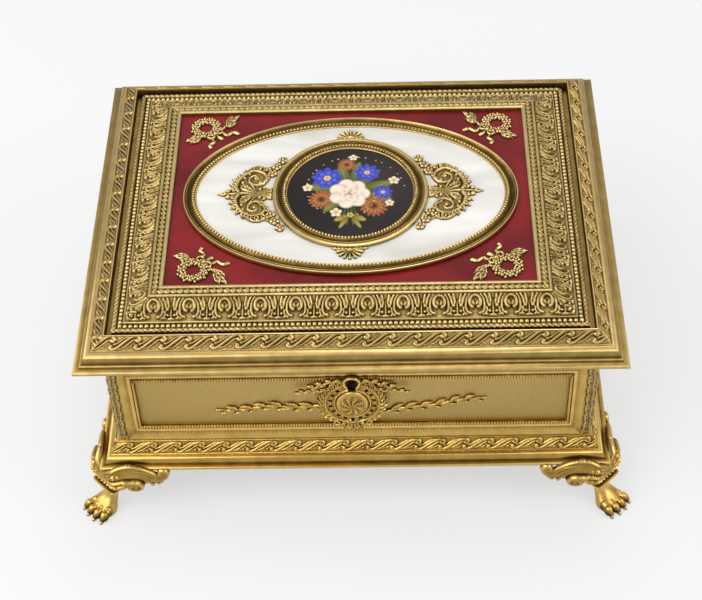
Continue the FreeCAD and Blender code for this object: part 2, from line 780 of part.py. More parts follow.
# Lid's inner moulding: rope, beads, leaf slope, bead channel and sight edge over the enamel panel
rope_end = groove_end + rope_width
bead_end = rope_end + 0.2 + bead_width
channel_mid = ((bead_channel_start + bead_channel_end) / 2, bead_channel_height + 0.8)
panel_edge = sight_edge - enamel_tongue
inner_points = [
    (inner_seat, core_thickness),
    (inner_seat, groove_floor),
    (groove_end, groove_floor),
    (groove_end, rope_foot),
    ((groove_end + rope_end) / 2, rope_foot + 1.1, rope_end, rope_foot + 0.2),
    (rope_end + 0.2, rope_foot + 0.2),
    ((rope_end + bead_end) / 2, rope_foot + 1.4, bead_end, rope_foot + 0.4),
    (bead_end, leaf_foot),
    (leaf_start, leaf_foot),
    (leaf_end, leaf_top),
    (leaf_end, bead_channel_height + 0.5),
    (bead_channel_start, bead_channel_height + 0.5),
    (bead_channel_start, bead_channel_height),
    (*channel_mid, bead_channel_end, bead_channel_height),
    (bead_channel_end, sight_height),
    (sight_edge, sight_height),
    (sight_edge, panel_top),
    (panel_edge, panel_top),
    (panel_edge, panel_top - inner_shell),
    (leaf_start + 1.0, leaf_foot - inner_shell),
    (inner_seat + inner_shell, leaf_foot - inner_shell),
    (inner_seat + inner_shell, core_thickness),
]
egg_levels = ((1.0, -relief_sink), (0.55, egg_height))
egg_plans = [(k * egg_half_width, k * egg_half_length, z) for k, z in egg_levels]
egg = skin([polygon(0, egg_rise, rx, ry, z, relief_sides) for rx, ry, z in egg_plans])
eggs = slope_row(egg, (leaf_start, leaf_foot), (leaf_end, leaf_top), egg_pitch)
lid_inner = mitred_frame(inner_points, lid_width, lid_depth, z_lid)
save("lid_inner_moulding", lid_inner.fuse(eggs).removeSplitter())

# Wooden core of the lid, raised in the middle to carry the enamel panel
core_x = half_w - core_edge
core_y = half_d - core_edge
core = block(-core_x, core_x, -core_y, core_y, z_lid, z_lid + core_thickness)
edge_x = half_w - panel_edge
edge_y = half_d - panel_edge
core = core.fuse(block(-edge_x, edge_x, -edge_y, edge_y, z_lid, z_panel - enamel_thickness)).removeSplitter()
enamel = block(-edge_x, edge_x, -edge_y, edge_y, z_panel - enamel_thickness, z_panel)
save("enamel_panel", enamel)

# Oval frame and pearl plaque
oa = oval_length / 2
ob = oval_breadth / 2
crest = oval_frame_height
oval_levels = [
    (0.0, z_panel),
    (0.0, z_panel + 1.0),
    (2.4, z_panel + crest * 0.86),
    (3.8, z_panel + crest),
    (oval_frame_width, z_panel + crest * 0.62),
]
oval_ring = skin([polygon(0, 0, oa - i, ob - i, z, oval_sides) for i, z in oval_levels])
sight_a = oa - oval_frame_width
sight_b = ob - oval_frame_width
hole = skin([polygon(0, 0, sight_a, sight_b, z, oval_sides) for z in (z_panel - 1, z_panel + 2 * crest)])
pearl_a = sight_a + pearl_tongue
pearl_b = sight_b + pearl_tongue
pearl = skin([polygon(0, 0, pearl_a, pearl_b, z, oval_sides) for z in (z_panel, z_pearl)])
save("oval_frame", oval_ring.cut(hole).cut(pearl))
save("pearl_plaque", pearl)

# Roundel frame turned in one piece, and the domed enamel plaque in its rebate
rr = sight_b - clasp_run
rs = rr - roundel_frame_width
rp = rs + plaque_tongue
rh = roundel_height
roundel_levels = ((rr, 0.0), (rr, 1.0), (rr - 2.4, rh), (rr - 4.0, rh), (rs, rh * 0.6))
roundel_ring = skin([polygon(0, 0, r, r, z_pearl + z, dome_sides) for r, z in roundel_levels])
seat = skin([polygon(0, 0, rp, rp, z_pearl + z, dome_sides) for z in (0.0, plaque_edge)])
hole = skin([polygon(0, 0, rs, rs, z_pearl + z, dome_sides) for z in (0.0, 2 * rh)])
roundel_ring = roundel_ring.cut(seat).cut(hole)
save("roundel_frame", roundel_ring)
dome_foot = rs - 0.2
dome_levels = ((1.0, 0.0), (0.72, 0.55), (0.4, 0.88), (0.08, 1.0))
dome_plans = [(dome_foot * k, z_pearl + plaque_edge + plaque_dome * z) for k, z in dome_levels]
dome = skin([polygon(0, 0, r, r, z, dome_sides) for r, z in dome_plans])
plaque = dome.fuse(seat).removeSplitter()
save("enamel_roundel", plaque)


def scroll_mount():
    # Pierced scroll mount beside the roundel, laid out to +X with the roundel's centre at the origin
    t = mount_thickness
    r = scroll_radius
    near = rr + 0.5
    shapes = [leaf(near, 0, scroll_reach, 7.0, 0, t)]
    for s in (-1, 1):
        shapes.append(ring(near + r, s * (r - 0.6), r, scroll_wire, t))
        shapes.append(leaf(near + 1.6 * r, s * 0.3, scroll_reach - 2.0 * r, 4.4, s * 26, t))
        shapes.append(leaf(near + 1.9 * r, s * 0.9 * r, 1.2 * r, 4.6, s * 112, t))
        shapes.append(leaf(near + 0.8 * r, s * 1.5 * r, 1.6 * r, 4.8, s * 146, t))
        for k in range(rosette_count):
            q = s * (rosette_run + k * rosette_pitch) / rr
            out = rr + rosette_radius * 0.8
            shapes.append(bud(out * math.cos(q), out * math.sin(q), rosette_radius, t))
    body = fuse(shapes)
    return body.cut(Part.makeCylinder(rr + mount_room, 3 * t, V(0, 0, -t)))


mount = scroll_mount()
for name, turn in (("right", 0), ("left", 180)):
    shape = mount.copy()
    shape.rotate(V(), V(0, 0, 1), turn)
    shape.translate(V(0, 0, z_pearl))
    save("scroll_mount_" + name, shape)

# Leaf clasps between the roundel and the oval frame, front and back
for name, s in (("front", -1), ("back", 1)):
    t = mount_thickness
    y = rr + 0.4
    shapes = [leaf(0, y, clasp_run - clasp_room, 5.0, 90, t)]
    for k in (-1, 1):
        shapes.append(leaf(0, y + 0.6, clasp_span, 4.0, 90 - k * 58, t))
        shapes.append(leaf(0, y + 1.4, clasp_span, 3.6, 90 - k * 84, t))
    body = fuse(shapes).cut(Part.makeCylinder(rr + mount_room, 3 * t, V(0, 0, -t)))
    if s < 0:
        body = body.mirror(V(), V(0, 1, 0))
    body.translate(V(0, 0, z_pearl))
    save("leaf_clasp_" + name, body)

# Corner mounts: laurel wreath, bow towards the middle and two leafy sprays along the sides
for end_name, sy in (("front", -1), ("back", 1)):
    for side_name, sx in (("left", -1), ("right", 1)):
        t = mount_thickness
        shapes = [ring(0, 0, wreath_radius, wreath_wire, t)]
        bow = V(-1, -1, 0).normalize() * wreath_radius
        for angle, length in ((130, spray_length + 6.0), (-17, spray_length + 2.0)):
            along = V(math.cos(math.radians(angle)), math.sin(math.radians(angle)), 0)
            joint = bow + along * (length * 0.45)
            shapes.append(leaf(bow.x, bow.y, length * 0.6, 3.0, angle, t))
            shapes.append(leaf(joint.x, joint.y, length * 0.55, 4.4, angle + 9, t))
            shapes.append(leaf(joint.x, joint.y, length * 0.45, 4.0, angle - 16, t))
        for angle, length in ((175, ribbon_length), (-78, ribbon_length * 0.75), (225, ribbon_length * 0.4)):
            shapes.append(leaf(bow.x, bow.y, length, 4.0, angle, t))
        body = fuse(shapes)
        if sx < 0:
            body = body.mirror(V(), V(1, 0, 0))
        if sy < 0:
            body = body.mirror(V(), V(0, 1, 0))
        x = sx * (half_w - sight_edge - wreath_inset_x)
        y = sy * (half_d - sight_edge - wreath_inset_y)
        body.translate(V(x, y, z_panel))
        save("corner_mount_" + end_name + "_" + side_name, body)

# Escutcheon: pierced oval band with a keyhole crown, leafy sides and a palmette foot
t = escutcheon_thickness
plate_levels = ((0, 0), (plate_bevel, t))
plate_plans = [(escutcheon_half_width - i, escutcheon_half_rise - i, z) for i, z in plate_levels]
plate = skin([polygon(0, 0, rx, ry, z, plate_sides) for rx, ry, z in plate_plans])
crown_levels = ((crown_radius, 0), (crown_radius - plate_bevel, t))
crown = skin([polygon(0, keyhole_above, r, r, z, ring_sides) for r, z in crown_levels])
shapes = [plate, crown]
for s in (-1, 1):
    shapes.append(leaf(s * 3.0, keyhole_above - 1.0, spray_run, 6.0, 90 - s * 96, t))
    shapes.append(leaf(s * 9.0, keyhole_above - 7.0, twig_run, 4.4, 90 - s * 88, t))
    shapes.append(leaf(s * 10.5, 5.0, side_leaf_run, 6.0, 90 - s * 152, t))
    shapes.append(leaf(s * 1.5, fan_root, fan_run - 1.0, 4.2, -90 + s * 34, t))
    shapes.append(leaf(s * 1.5, fan_root, fan_run - 2.0, 3.6, -90 + s * 62, t))
shapes.append(leaf(0, fan_root, fan_run, 4.6, -90, t))
plate = fuse(shapes)
holes = []
for k in range(pierced_count):
    q = 2 * math.pi * (k + 0.5) / pierced_count
    if abs(math.degrees(q) - 90) < 24:
        continue
    at = V(pierced_half_width * math.cos(q), pierced_half_rise * math.sin(q), -1)
    hole = Part.makeBox(pierced_size, pierced_size, 4, V(-pierced_size / 2, -pierced_size / 2, 0))
    hole.rotate(V(), V(0, 0, 1), math.degrees(q))
    hole.translate(at)
    holes.append(hole)
plate = plate.cut(holes)
studs = []
for sx in (-1, 1):
    for sz in (-1, 1):
        at = V(sx * boss_half_width, sz * boss_half_rise * 0.7, 0)
        studs.append(prism(stud_radius, at - V(0, 0, panel_set_back), at))
plate = fuse([plate, *studs])
plate = stand_up(plate, -wall_y)
plate.translate(V(0, 0, z_escutcheon))
save("escutcheon", plate.cut(key_cut))

# Oval boss in the middle of the escutcheon
boss_levels = ((1.0, 0.0), (0.94, 0.45), (0.73, 0.85), (0.42, 1.0))
boss_plans = [(boss_half_width * k, boss_half_rise * k, t + boss_stand * z) for k, z in boss_levels]
boss = skin([polygon(0, 0, rx, ry, z, plate_sides) for rx, ry, z in boss_plans])
boss = stand_up(boss, -wall_y)
boss.translate(V(0, 0, z_escutcheon))
save("escutcheon_boss", boss.cut(key_cut))

# Leafy sprigs on the front panel, each a wavy stem with leaves
for name, s, root, rise in (
    ("left", -1, sprig_left_root, sprig_left_rise),
    ("right", 1, sprig_right_root, sprig_right_rise),
):
    t = sprig_thickness
    stem, shapes = [], []
    for k in range(sprig_leaves + 1):
        u = k / sprig_leaves
        x = escutcheon_half_width + u * sprig_length
        y = root + rise * u + sprig_wave * math.sin(2.2 * math.pi * u)
        half = 0.9 * (1 - 0.6 * u)
        stem.append([V(s * x, y + i, z) for i, z in ((-half, 0), (half, 0), (half, t), (-half, t))])
        if 0 < k < sprig_leaves:
            lean = 24 if k % 2 else -24
            angle = (lean if s > 0 else 180 - lean) + s * math.degrees(math.atan(rise / sprig_length))
            shapes.append(leaf(s * x, y, sprig_leaf_length, sprig_leaf_width, angle, t))
    body = stand_up(fuse([skin(stem), *shapes]), -wall_y + panel_set_back)
    body.translate(V(0, 0, z_escutcheon))
    save("sprig_" + name, body)

# Box lock behind the front wall
inside = block(-lock_x + lock_sheet, lock_x - lock_sheet, lock_y + lock_sheet, lock_y + lock_depth,
               z_lock + lock_sheet, z_rim_top - lock_sheet)
lock_case = block(-lock_x, lock_x, lock_y, lock_y + lock_depth - lock_sheet, z_lock, z_rim_top).cut(inside)
slot_x = staple_thickness / 2 + lock_room
slot_y = staple_width / 2 + lock_room
slot_low = z_rim_top - 2 * lock_sheet
slot = block(-slot_x, slot_x, lock_mid_y - slot_y, lock_mid_y + slot_y, slot_low, z_rim_top + lock_sheet)
lock_case = lock_case.cut(slot)
bolt_z = z_rim_top - staple_drop + staple_wall + bolt_height / 2 + bolt_fit
guide_x = staple_thickness / 2 + bolt_rest_gap + 2.0
guide_low = bolt_z - bolt_height / 2 - bolt_fit - bolt_guide
guide_high = bolt_z + bolt_height / 2 + bolt_fit
for low in (guide_low, guide_high):
    guide_y = lock_mid_y + bolt_thickness / 2
    guide = block(guide_x, lock_x - lock_sheet, lock_y + lock_sheet, guide_y, low, low + bolt_guide)
    lock_case = lock_case.fuse(guide)
ears = []
for x, z in ear_spots:
    ears.append(block(x - lock_ear, x + lock_ear, lock_y, lock_y + lock_sheet, z - lock_ear, z + lock_ear))
lock_case = lock_case.fuse(ears).cut(key_cut).cut(lock_screws).removeSplitter()
save("lock_case", lock_case)
save("lock_screws", lock_screws)
cap_y = lock_y + lock_depth - lock_sheet
cap = block(-lock_x, lock_x, cap_y, lock_y + lock_depth, z_lock, z_rim_top)
post_start = V(0, lock_y + lock_sheet + key_post_set_back, z_keyhole)
cap = cap.fuse(rod(key_post_radius, post_start, V(0, cap_y + lock_sheet / 2, z_keyhole))).removeSplitter()
save("lock_cap", cap)

# Sliding bolt, drawn back from the staple
bx = staple_thickness / 2 + bolt_rest_gap
bolt = block(bx, bx + bolt_length, lock_mid_y - bolt_thickness / 2, lock_mid_y + bolt_thickness / 2,
             bolt_z - bolt_height / 2, bolt_z + bolt_height / 2)
save("lock_bolt", bolt)

# Staple on the lid: plate let into the core and an eye that drops into the lock
half_plate = staple_plate_length / 2
eye_x = staple_thickness / 2
eye_y = staple_width / 2
eye_low = z_rim_top - staple_drop
eye = block(-eye_x, eye_x, lock_mid_y - eye_y, lock_mid_y + eye_y, eye_low, z_lid + lock_sheet)
gap_y = eye_y - staple_wall
gap_top = bolt_z + bolt_height / 2 + bolt_fit
window = block(-2 * eye_x, 2 * eye_x, lock_mid_y - gap_y, lock_mid_y + gap_y, eye_low + staple_wall, gap_top)
staple_plate = block(-half_plate, half_plate, lock_y, lock_y + lock_depth, z_lid, z_lid + lock_sheet)
staple = staple_plate.fuse(eye).removeSplitter().cut(window)
save("lid_staple", staple)
core = core.cut(staple_plate).cut(leaf_cut_lid).cut(knuckle_room_cut).cut(lid_screws)
save("lid_core", core)

# Padded linings against the four walls
z_lining = z_rim_top - lining_top_gap
for name, half_length, reach, turn in (
    ("front", inner_x, inner_y, 0),
    ("right", inner_y - lining_thickness - lining_gap, inner_x, 90),
    ("back", inner_x, inner_y, 180),
    ("left", inner_y - lining_thickness - lining_gap, inner_x, 270),
):
    mid = (z_lining + z_seat) / 2
    rise = (z_lining - z_seat) / 2
    levels = [(0.0, 0.0), (0.0, lining_edge * 0.7), (1.6, lining_edge), (9.0, lining_thickness)]
    slab = soft_slab(half_length, rise, levels)
    slab.rotate(V(), V(1, 0, 0), -90)
    slab.translate(V(0, -reach, mid))
    if name == "front":
        notch_x = lock_x + 2 * lock_ear
        notch_y = -reach + 2 * lock_depth
        notch = block(-notch_x, notch_x, -reach - 1, notch_y, z_lock - lock_room, z_rim_top)
        slab = slab.cut(notch)
    slab.rotate(V(), V(0, 0, 1), turn)
    save("lining_" + name, slab)

# Floor cushion and the pad inside the lid
cx = inner_x - lining_thickness - lining_gap
cy = inner_y - lining_thickness - lining_gap
h = cushion_height
levels = [(1.2, z_seat), (0.0, z_seat + h * 0.35), (1.0, z_seat + h * 0.7), (5.0, z_seat + h),
          (22.0, z_seat + h + cushion_crown * 0.7), (52.0, z_seat + h + cushion_crown)]
save("floor_cushion", soft_slab(cx, cy, levels))
back_y = inner_y - pad_margin
front_y = inner_y - lock_depth - 3.0
h = pad_height
levels = [(1.0, z_lid), (0.0, z_lid - h * 0.35), (1.4, z_lid - h * 0.75), (6.0, z_lid - h),
          (20.0, z_lid - h - cushion_crown * 0.5), (48.0, z_lid - h - cushion_crown * 0.7)]
pad = soft_slab(inner_x - pad_margin, (front_y + back_y) / 2, levels)
pad.translate(V(0, (back_y - front_y) / 2, 0))
save("lid_pad", pad)
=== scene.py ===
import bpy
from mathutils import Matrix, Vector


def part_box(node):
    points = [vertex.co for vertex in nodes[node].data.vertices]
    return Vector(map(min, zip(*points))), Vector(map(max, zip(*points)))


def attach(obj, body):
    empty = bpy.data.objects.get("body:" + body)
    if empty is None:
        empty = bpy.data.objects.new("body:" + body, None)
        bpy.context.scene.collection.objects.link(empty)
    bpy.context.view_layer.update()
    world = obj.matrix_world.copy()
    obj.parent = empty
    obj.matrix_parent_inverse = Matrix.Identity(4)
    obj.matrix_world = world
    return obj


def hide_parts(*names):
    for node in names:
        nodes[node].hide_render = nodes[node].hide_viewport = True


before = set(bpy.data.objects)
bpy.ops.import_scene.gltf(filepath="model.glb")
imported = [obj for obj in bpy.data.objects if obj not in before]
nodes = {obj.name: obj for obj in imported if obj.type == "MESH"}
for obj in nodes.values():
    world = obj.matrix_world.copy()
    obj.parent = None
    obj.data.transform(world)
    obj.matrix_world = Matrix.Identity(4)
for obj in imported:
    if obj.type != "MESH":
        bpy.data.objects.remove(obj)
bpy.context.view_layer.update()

import math
import bpy
import numpy as np
from mathutils import Matrix

mm = 0.001  # every shape below is worked out in millimetres

# sides with the cosine and sine of their turn, and corners with the signs of x and y
sides = (("front", 1, 0), ("right", 0, 1), ("back", -1, 0), ("left", 0, -1))
corners = (("front_left", -1, -1), ("back_left", -1, 1), ("front_right", 1, -1), ("back_right", 1, 1))


# low and high corner of a node's box
def nodeBox(name):
    low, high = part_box(name)
    return np.array(low) / mm, np.array(high) / mm


# unit vector at an angle
def heading(angle):
    return np.array((math.cos(angle), math.sin(angle)))


# how far out a box reaches on a side
def sideReach(low, high, c, s):
    return max(s * low[0] - c * low[1], s * high[0] - c * high[1])


# points and faces go into the mesh as whole arrays; equal points are merged, so that seams and poles close;
# faces are arrays of triangles or quads, stands the nodes it replaces, tone and paint marks on the points
def putPiece(name, points, faces, finish, body, stands=(), tone=None, paint=None, crease=40):
    points = np.asarray(points, float)
    first, back = np.unique(np.round(points, 3), axis=0, return_index=True, return_inverse=True)[1:]
    back = back.ravel()
    points = points[first]
    threes, fours = [], []
    for part in faces:
        part = back[part]
        same = part == np.roll(part, -1, axis=1)
        pairs = same.sum(axis=1)
        if part.shape[1] == 4:
            fours.append(part[pairs == 0])
            threes.append(part[pairs == 1][~same[pairs == 1]].reshape(-1, 3))
        else:
            threes.append(part[pairs == 0])
    threes = np.concatenate(threes) if threes else np.zeros((0, 3), int)
    fours = np.concatenate(fours) if fours else np.zeros((0, 4), int)
    loops = np.concatenate([threes.ravel(), fours.ravel()])
    starts = np.concatenate([np.arange(len(threes)) * 3, threes.size + np.arange(len(fours)) * 4])
    mesh = bpy.data.meshes.new(name)
    mesh.vertices.add(len(points))
    mesh.vertices.foreach_set("co", (points * mm).astype(np.float32).ravel())
    mesh.loops.add(len(loops))
    mesh.loops.foreach_set("vertex_index", loops.astype(np.int32))
    mesh.polygons.add(len(starts))
    mesh.polygons.foreach_set("loop_start", starts.astype(np.int32))
    mesh.update(calc_edges=True)
    mesh.validate()
    if tone is not None:
        mark = mesh.attributes.new("tone", "FLOAT", "POINT")
        mark.data.foreach_set("value", np.asarray(tone, np.float32).ravel()[first])
    if paint is not None:
        mark = mesh.attributes.new("paint", "FLOAT_COLOR", "POINT")
        mark.data.foreach_set("color", np.asarray(paint, np.float32).reshape(-1, 4)[first].ravel())
    mesh.shade_smooth()
    mesh.set_sharp_from_angle(angle=math.radians(crease))
    mesh.materials.append(finish)
    piece = bpy.data.objects.new(name, mesh)
    bpy.context.scene.collection.objects.link(piece)
    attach(piece, body)
    if stands:
        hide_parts(*stands)
    print("piece", name, "triangles", len(threes) + 2 * len(fours))
    return piece


# quads of a grid of rows by columns, the first corner at (0, 0); either way round may wrap
def gridFaces(rows, columns, wrapRows=False, wrapColumns=False):
    r = np.arange(rows if wrapRows else rows - 1)
    c = np.arange(columns if wrapColumns else columns - 1)
    r, c = np.meshgrid(r, c, indexing="ij")
    r2, c2 = (r + 1) % rows, (c + 1) % columns
    quads = [r * columns + c, r * columns + c2, r2 * columns + c2, r2 * columns + c]
    return np.stack(quads, -1).reshape(-1, 4)


# smooth curve through the points: each stretch is the cubic that leaves and arrives along the chord of the
# points before and after
def curve(points, count=40):
    p = np.asarray(points, float)
    p = np.vstack([2 * p[0] - p[1], p, 2 * p[-1] - p[-2]])
    t = np.linspace(0, len(p) - 3 - 1e-6, count)
    k = t.astype(int)
    u = (t - k)[:, None]
    a, b, c, d = p[k], p[k + 1], p[k + 2], p[k + 3]
    return 0.5 * (2 * b + (c - a) * u + (2 * a - 5 * b + 4 * c - d) * u**2 + (3 * b - a - 3 * c + d) * u**3)


# spiral whose radius falls evenly with the angle
def spiral(cx, cy, outer, inner, start, sweep, count=70):
    a = np.radians(np.linspace(start, start + sweep, count))
    r = np.linspace(outer, inner, count)
    return np.stack([cx + r * np.cos(a), cy + r * np.sin(a)], 1)


# points no further apart than gap along a line of corners
def fine(points, gap):
    p = np.asarray(points, float)
    parts = [np.linspace(a, b, max(1, math.ceil(np.hypot(*(b - a)) / gap)), endpoint=False)
             for a, b in zip(p, p[1:])]
    return np.vstack(parts + [p[-1:]])


# relief board: a grid with the height of the chasing, and an edge value that is positive inside the outline
def newBoard(x0, x1, y0, y1, cell):
    x, y = np.meshgrid(np.arange(x0, x1 + cell / 2, cell), np.arange(y0, y1 + cell / 2, cell))
    return {"x": x, "y": y, "h": np.zeros_like(x), "e": np.full_like(x, -9.0), "cell": cell}


# the rows and columns of a board within a margin of the path
def window(board, path, margin):
    x, y = board["x"][0], board["y"][:, 0]
    path = np.atleast_2d(path)
    columns = np.searchsorted(x, [path[:, 0].min() - margin, path[:, 0].max() + margin])
    rows = np.searchsorted(y, [path[:, 1].min() - margin, path[:, 1].max() + margin])
    return slice(*rows), slice(*columns)


# what stands highest stays
def stamp(board, part, height, edge):
    board["h"][part] = np.maximum(board["h"][part], height)
    board["e"][part] = np.maximum(board["e"][part], edge)


# what has a value below zero goes
def cutAway(board, value):
    board["e"] = np.minimum(board["e"], value)


# rib: half round, its height the circle of the distance to the path over the radius; a pair of radii runs
# evenly from the first to the second
def rib(board, path, radius, height, lift=0.0):
    path = np.atleast_2d(np.asarray(path, float))
    first, last = radius if isinstance(radius, tuple) else (radius, radius)
    radius = np.linspace(first, last, len(path))
    part = window(board, path, radius.max() * 1.5)
    x, y = board["x"][part], board["y"][part]
    if x.size == 0:
        return
    ratio = ((x[..., None] - path[:, 0]) ** 2 + (y[..., None] - path[:, 1]) ** 2) / radius**2
    k = ratio.argmin(-1)
    ratio = np.sqrt(ratio.min(-1))
    dome = np.sqrt(np.clip(1 - ratio**2, 0, None))
    grow = radius[k] / radius.max()
    stamp(board, part, (ratio < 1) * (lift + height * grow * dome), radius[k] * (1 - ratio))


# ellipsoid cap: the square root of one minus the squared distance over the half axes
def bump(board, cx, cy, rx, ry, height, turn=0.0, lift=0.0):
    part = window(board, (cx, cy), max(rx, ry) * 1.5)
    x, y = board["x"][part] - cx, board["y"][part] - cy
    if x.size == 0:
        return
    c, s = heading(math.radians(turn))
    ratio = np.hypot((x * c + y * s) / rx, (y * c - x * s) / ry)
    dome = lift + height * np.sqrt(np.clip(1 - ratio**2, 0, None))
    stamp(board, part, (ratio < 1) * dome, min(rx, ry) * (1 - ratio))


# leaf along a path: its half width swells as a sine of the way along, the blade is domed across it,
# the midrib is sunk, side veins slant from it, and lobes scallop the outline
def leaf(board, path, width, height, lobes=0, veins=0, belly=0.6, lift=0.0):
    path = np.asarray(path, float)
    part = window(board, path, width * 1.4)
    x, y = board["x"][part], board["y"][part]
    if x.size == 0:
        return
    dx, dy = x[..., None] - path[:, 0], y[..., None] - path[:, 1]
    k = (dx**2 + dy**2).argmin(-1)
    along = np.gradient(path, axis=0)
    along /= np.hypot(*along.T)[:, None]
    px, py = x - path[k, 0], y - path[k, 1]
    off = along[k, 0] * py - along[k, 1] * px
    past = along[k, 0] * px + along[k, 1] * py
    s = k / (len(path) - 1)
    half = width * np.sin(np.pi * np.clip(s, 0.02, 0.98) ** belly) ** 0.8
    if lobes:
        half = half * (0.86 + 0.18 * np.cos(2 * np.pi * (lobes * s - 0.35)))
    over = np.where((s == 0) | (s == 1), np.abs(past), 0)
    ratio = np.hypot(off / half, over / (0.35 * width))
    h = 0.5 + 0.5 * np.sqrt(np.clip(1 - ratio**2, 0, None))
    h = h - 0.38 * np.exp(-((off / (0.17 * width)) ** 2))
    if veins:
        h = h + 0.16 * np.cos(2 * np.pi * (veins * s - 0.8 * np.abs(off) / width))
    stamp(board, part, (ratio < 1) * (lift + height * h * (1 - 0.25 * s)), half * (1 - ratio))


# mean height round each cell, from running sums
def softened(h, reach):
    padded = np.pad(h, reach, mode="edge")
    total = np.cumsum(np.cumsum(np.pad(padded, ((1, 0), (1, 0))), 0), 1)
    w = 2 * reach + 1
    return (total[w:, w:] - total[:-w, w:] - total[w:, :-w] + total[:-w, :-w]) / w**2


# height above the mean round each point: brown patina and painted shade in hollows, a painted highlight on
# rubbed ridges
def patinaWithPaintedLight(h, cell, reach=1.1, scale=1.1):
    return np.clip(0.5 + (h - softened(h, max(1, round(reach / cell)))) / scale, 0, 1)


# a motif drawn three times side by side, the middle one kept: the tile repeats along x without a step
def makeTile(pitch, width, draw, cell=0.12, scale=1.0):
    board = newBoard(-pitch, 2 * pitch, 0, width, cell)
    for shift in (-pitch, 0, pitch):
        draw(board, shift)
    # the tile's tone: patina with painted shade in the hollows, a painted highlight on the ridges
    patinaAndPaintedLight = patinaWithPaintedLight(board["h"], cell, scale=scale)
    x = board["x"][0]
    keep = (x > -cell / 2) & (x < pitch - cell / 2)
    return {"h": board["h"][:, keep], "tone": patinaAndPaintedLight[:, keep], "pitch": pitch, "cell": cell}


# bilinear reading of a repeating tile
def readTile(tile, x, y):
    rows, columns = tile["h"].shape
    u = (x / tile["pitch"] % 1.0) * columns
    v = np.clip(y / tile["cell"], 0, rows - 1.001)
    i, j = np.floor(u).astype(int) % columns, np.floor(v).astype(int)
    fu, fv = u - np.floor(u), v - j
    i2, j2 = (i + 1) % columns, j + 1
    out = []
    for field in (tile["h"], tile["tone"]):
        low = field[j, i] * (1 - fu) + field[j, i2] * fu
        high = field[j2, i] * (1 - fu) + field[j2, i2] * fu
        out.append(low * (1 - fv) + high * fv)
    return out


# the relief of each band is added along the normal of its profile
def raiseBands(rows, bands, x, run, inset, rise, tone, fade):
    for first, last, tile in bands:
        part = slice(first, last + 1)
        line = rows[part]
        way = np.concatenate([[0], np.cumsum(np.hypot(*np.diff(line, axis=0).T))])
        slope = np.gradient(line, way, axis=0)
        length = run - 2 * line[:, 0].mean() if fade else run
        count = max(1, round(length / tile["pitch"]))
        start = 0 if count % 2 else tile["pitch"] / 2  # the side ends between two motifs
        h, patinaAndPaintedLight = readTile(tile, x[part] * tile["pitch"] * count / length + start, way[:, None] + 0 * x[part])
        if fade:
            h = h * np.clip((run / 2 - inset[part] - np.abs(x[part])) / fade, 0, 1)
        inset[part] -= h * slope[:, 1:]
        rise[part] += h * slope[:, :1]
        tone[part] = patinaAndPaintedLight


# mitred frame: a closed profile of (inset, height) carried round four sides; every point's run along a side
# is the side's half length less its inset, so the corners meet on the mitre
def mitredRing(across, deep, base, rows, tones, bands=(), step=None, fade=1.0, stretch=(1.0, 1.0)):
    rows = np.asarray(rows, float)
    points, faces, marks, count = [], [], [], 0
    for name, c, s in sides:
        run, half = (across, deep / 2) if c else (deep, across / 2)
        ends, own = stretch if c else stretch[::-1]
        n = 2 if step is None else int(run / step) + 1
        t = np.linspace(-1, 1, n)[None]
        inset, rise = np.repeat(rows[:, :1], n, 1), np.repeat(rows[:, 1:], n, 1)
        tone = np.repeat(np.asarray(tones, float)[:, None], n, 1)
        x = t * (run / 2 - inset * ends)
        raiseBands(rows, bands, x, run, inset, rise, tone, fade)
        y = inset * own - half
        points.append(np.stack([x * c - y * s, x * s + y * c, base + rise], -1).reshape(-1, 3))
        faces.append(gridFaces(len(rows), n, wrapRows=True) + count)
        marks.append(tone.ravel())
        count += len(points[-1])
    return np.vstack(points), np.vstack(faces), np.concatenate(marks)


# oval frame: a closed profile carried round an ellipse, set in from it along its normal, with columns spaced
# evenly along its length
def ovalRing(a, b, base, rows, tones, bands=(), step=0.4):
    rows = np.asarray(rows, float)
    turn = np.linspace(0, 2 * np.pi, 4001)
    way = np.concatenate([[0], np.cumsum(np.hypot(np.diff(a * np.cos(turn)), np.diff(b * np.sin(turn))))])
    n = int(way[-1] / step)
    along = np.linspace(0, way[-1], n, endpoint=False)
    turn = np.interp(along, way, turn)[None]
    inset, rise = np.repeat(rows[:, :1], n, 1), np.repeat(rows[:, 1:], n, 1)
    tone = np.repeat(np.asarray(tones, float)[:, None], n, 1)
    raiseBands(rows, bands, along[None] + 0 * inset, way[-1], inset, rise, tone, 0)
    nx, ny = b * np.cos(turn), a * np.sin(turn)
    size = np.hypot(nx, ny)
    x, y = a * np.cos(turn) - inset * nx / size, b * np.sin(turn) - inset * ny / size
    points = np.stack([x, y, base + rise], -1)
    return points.reshape(-1, 3), gridFaces(len(rows), n, wrapRows=True, wrapColumns=True), tone.ravel()


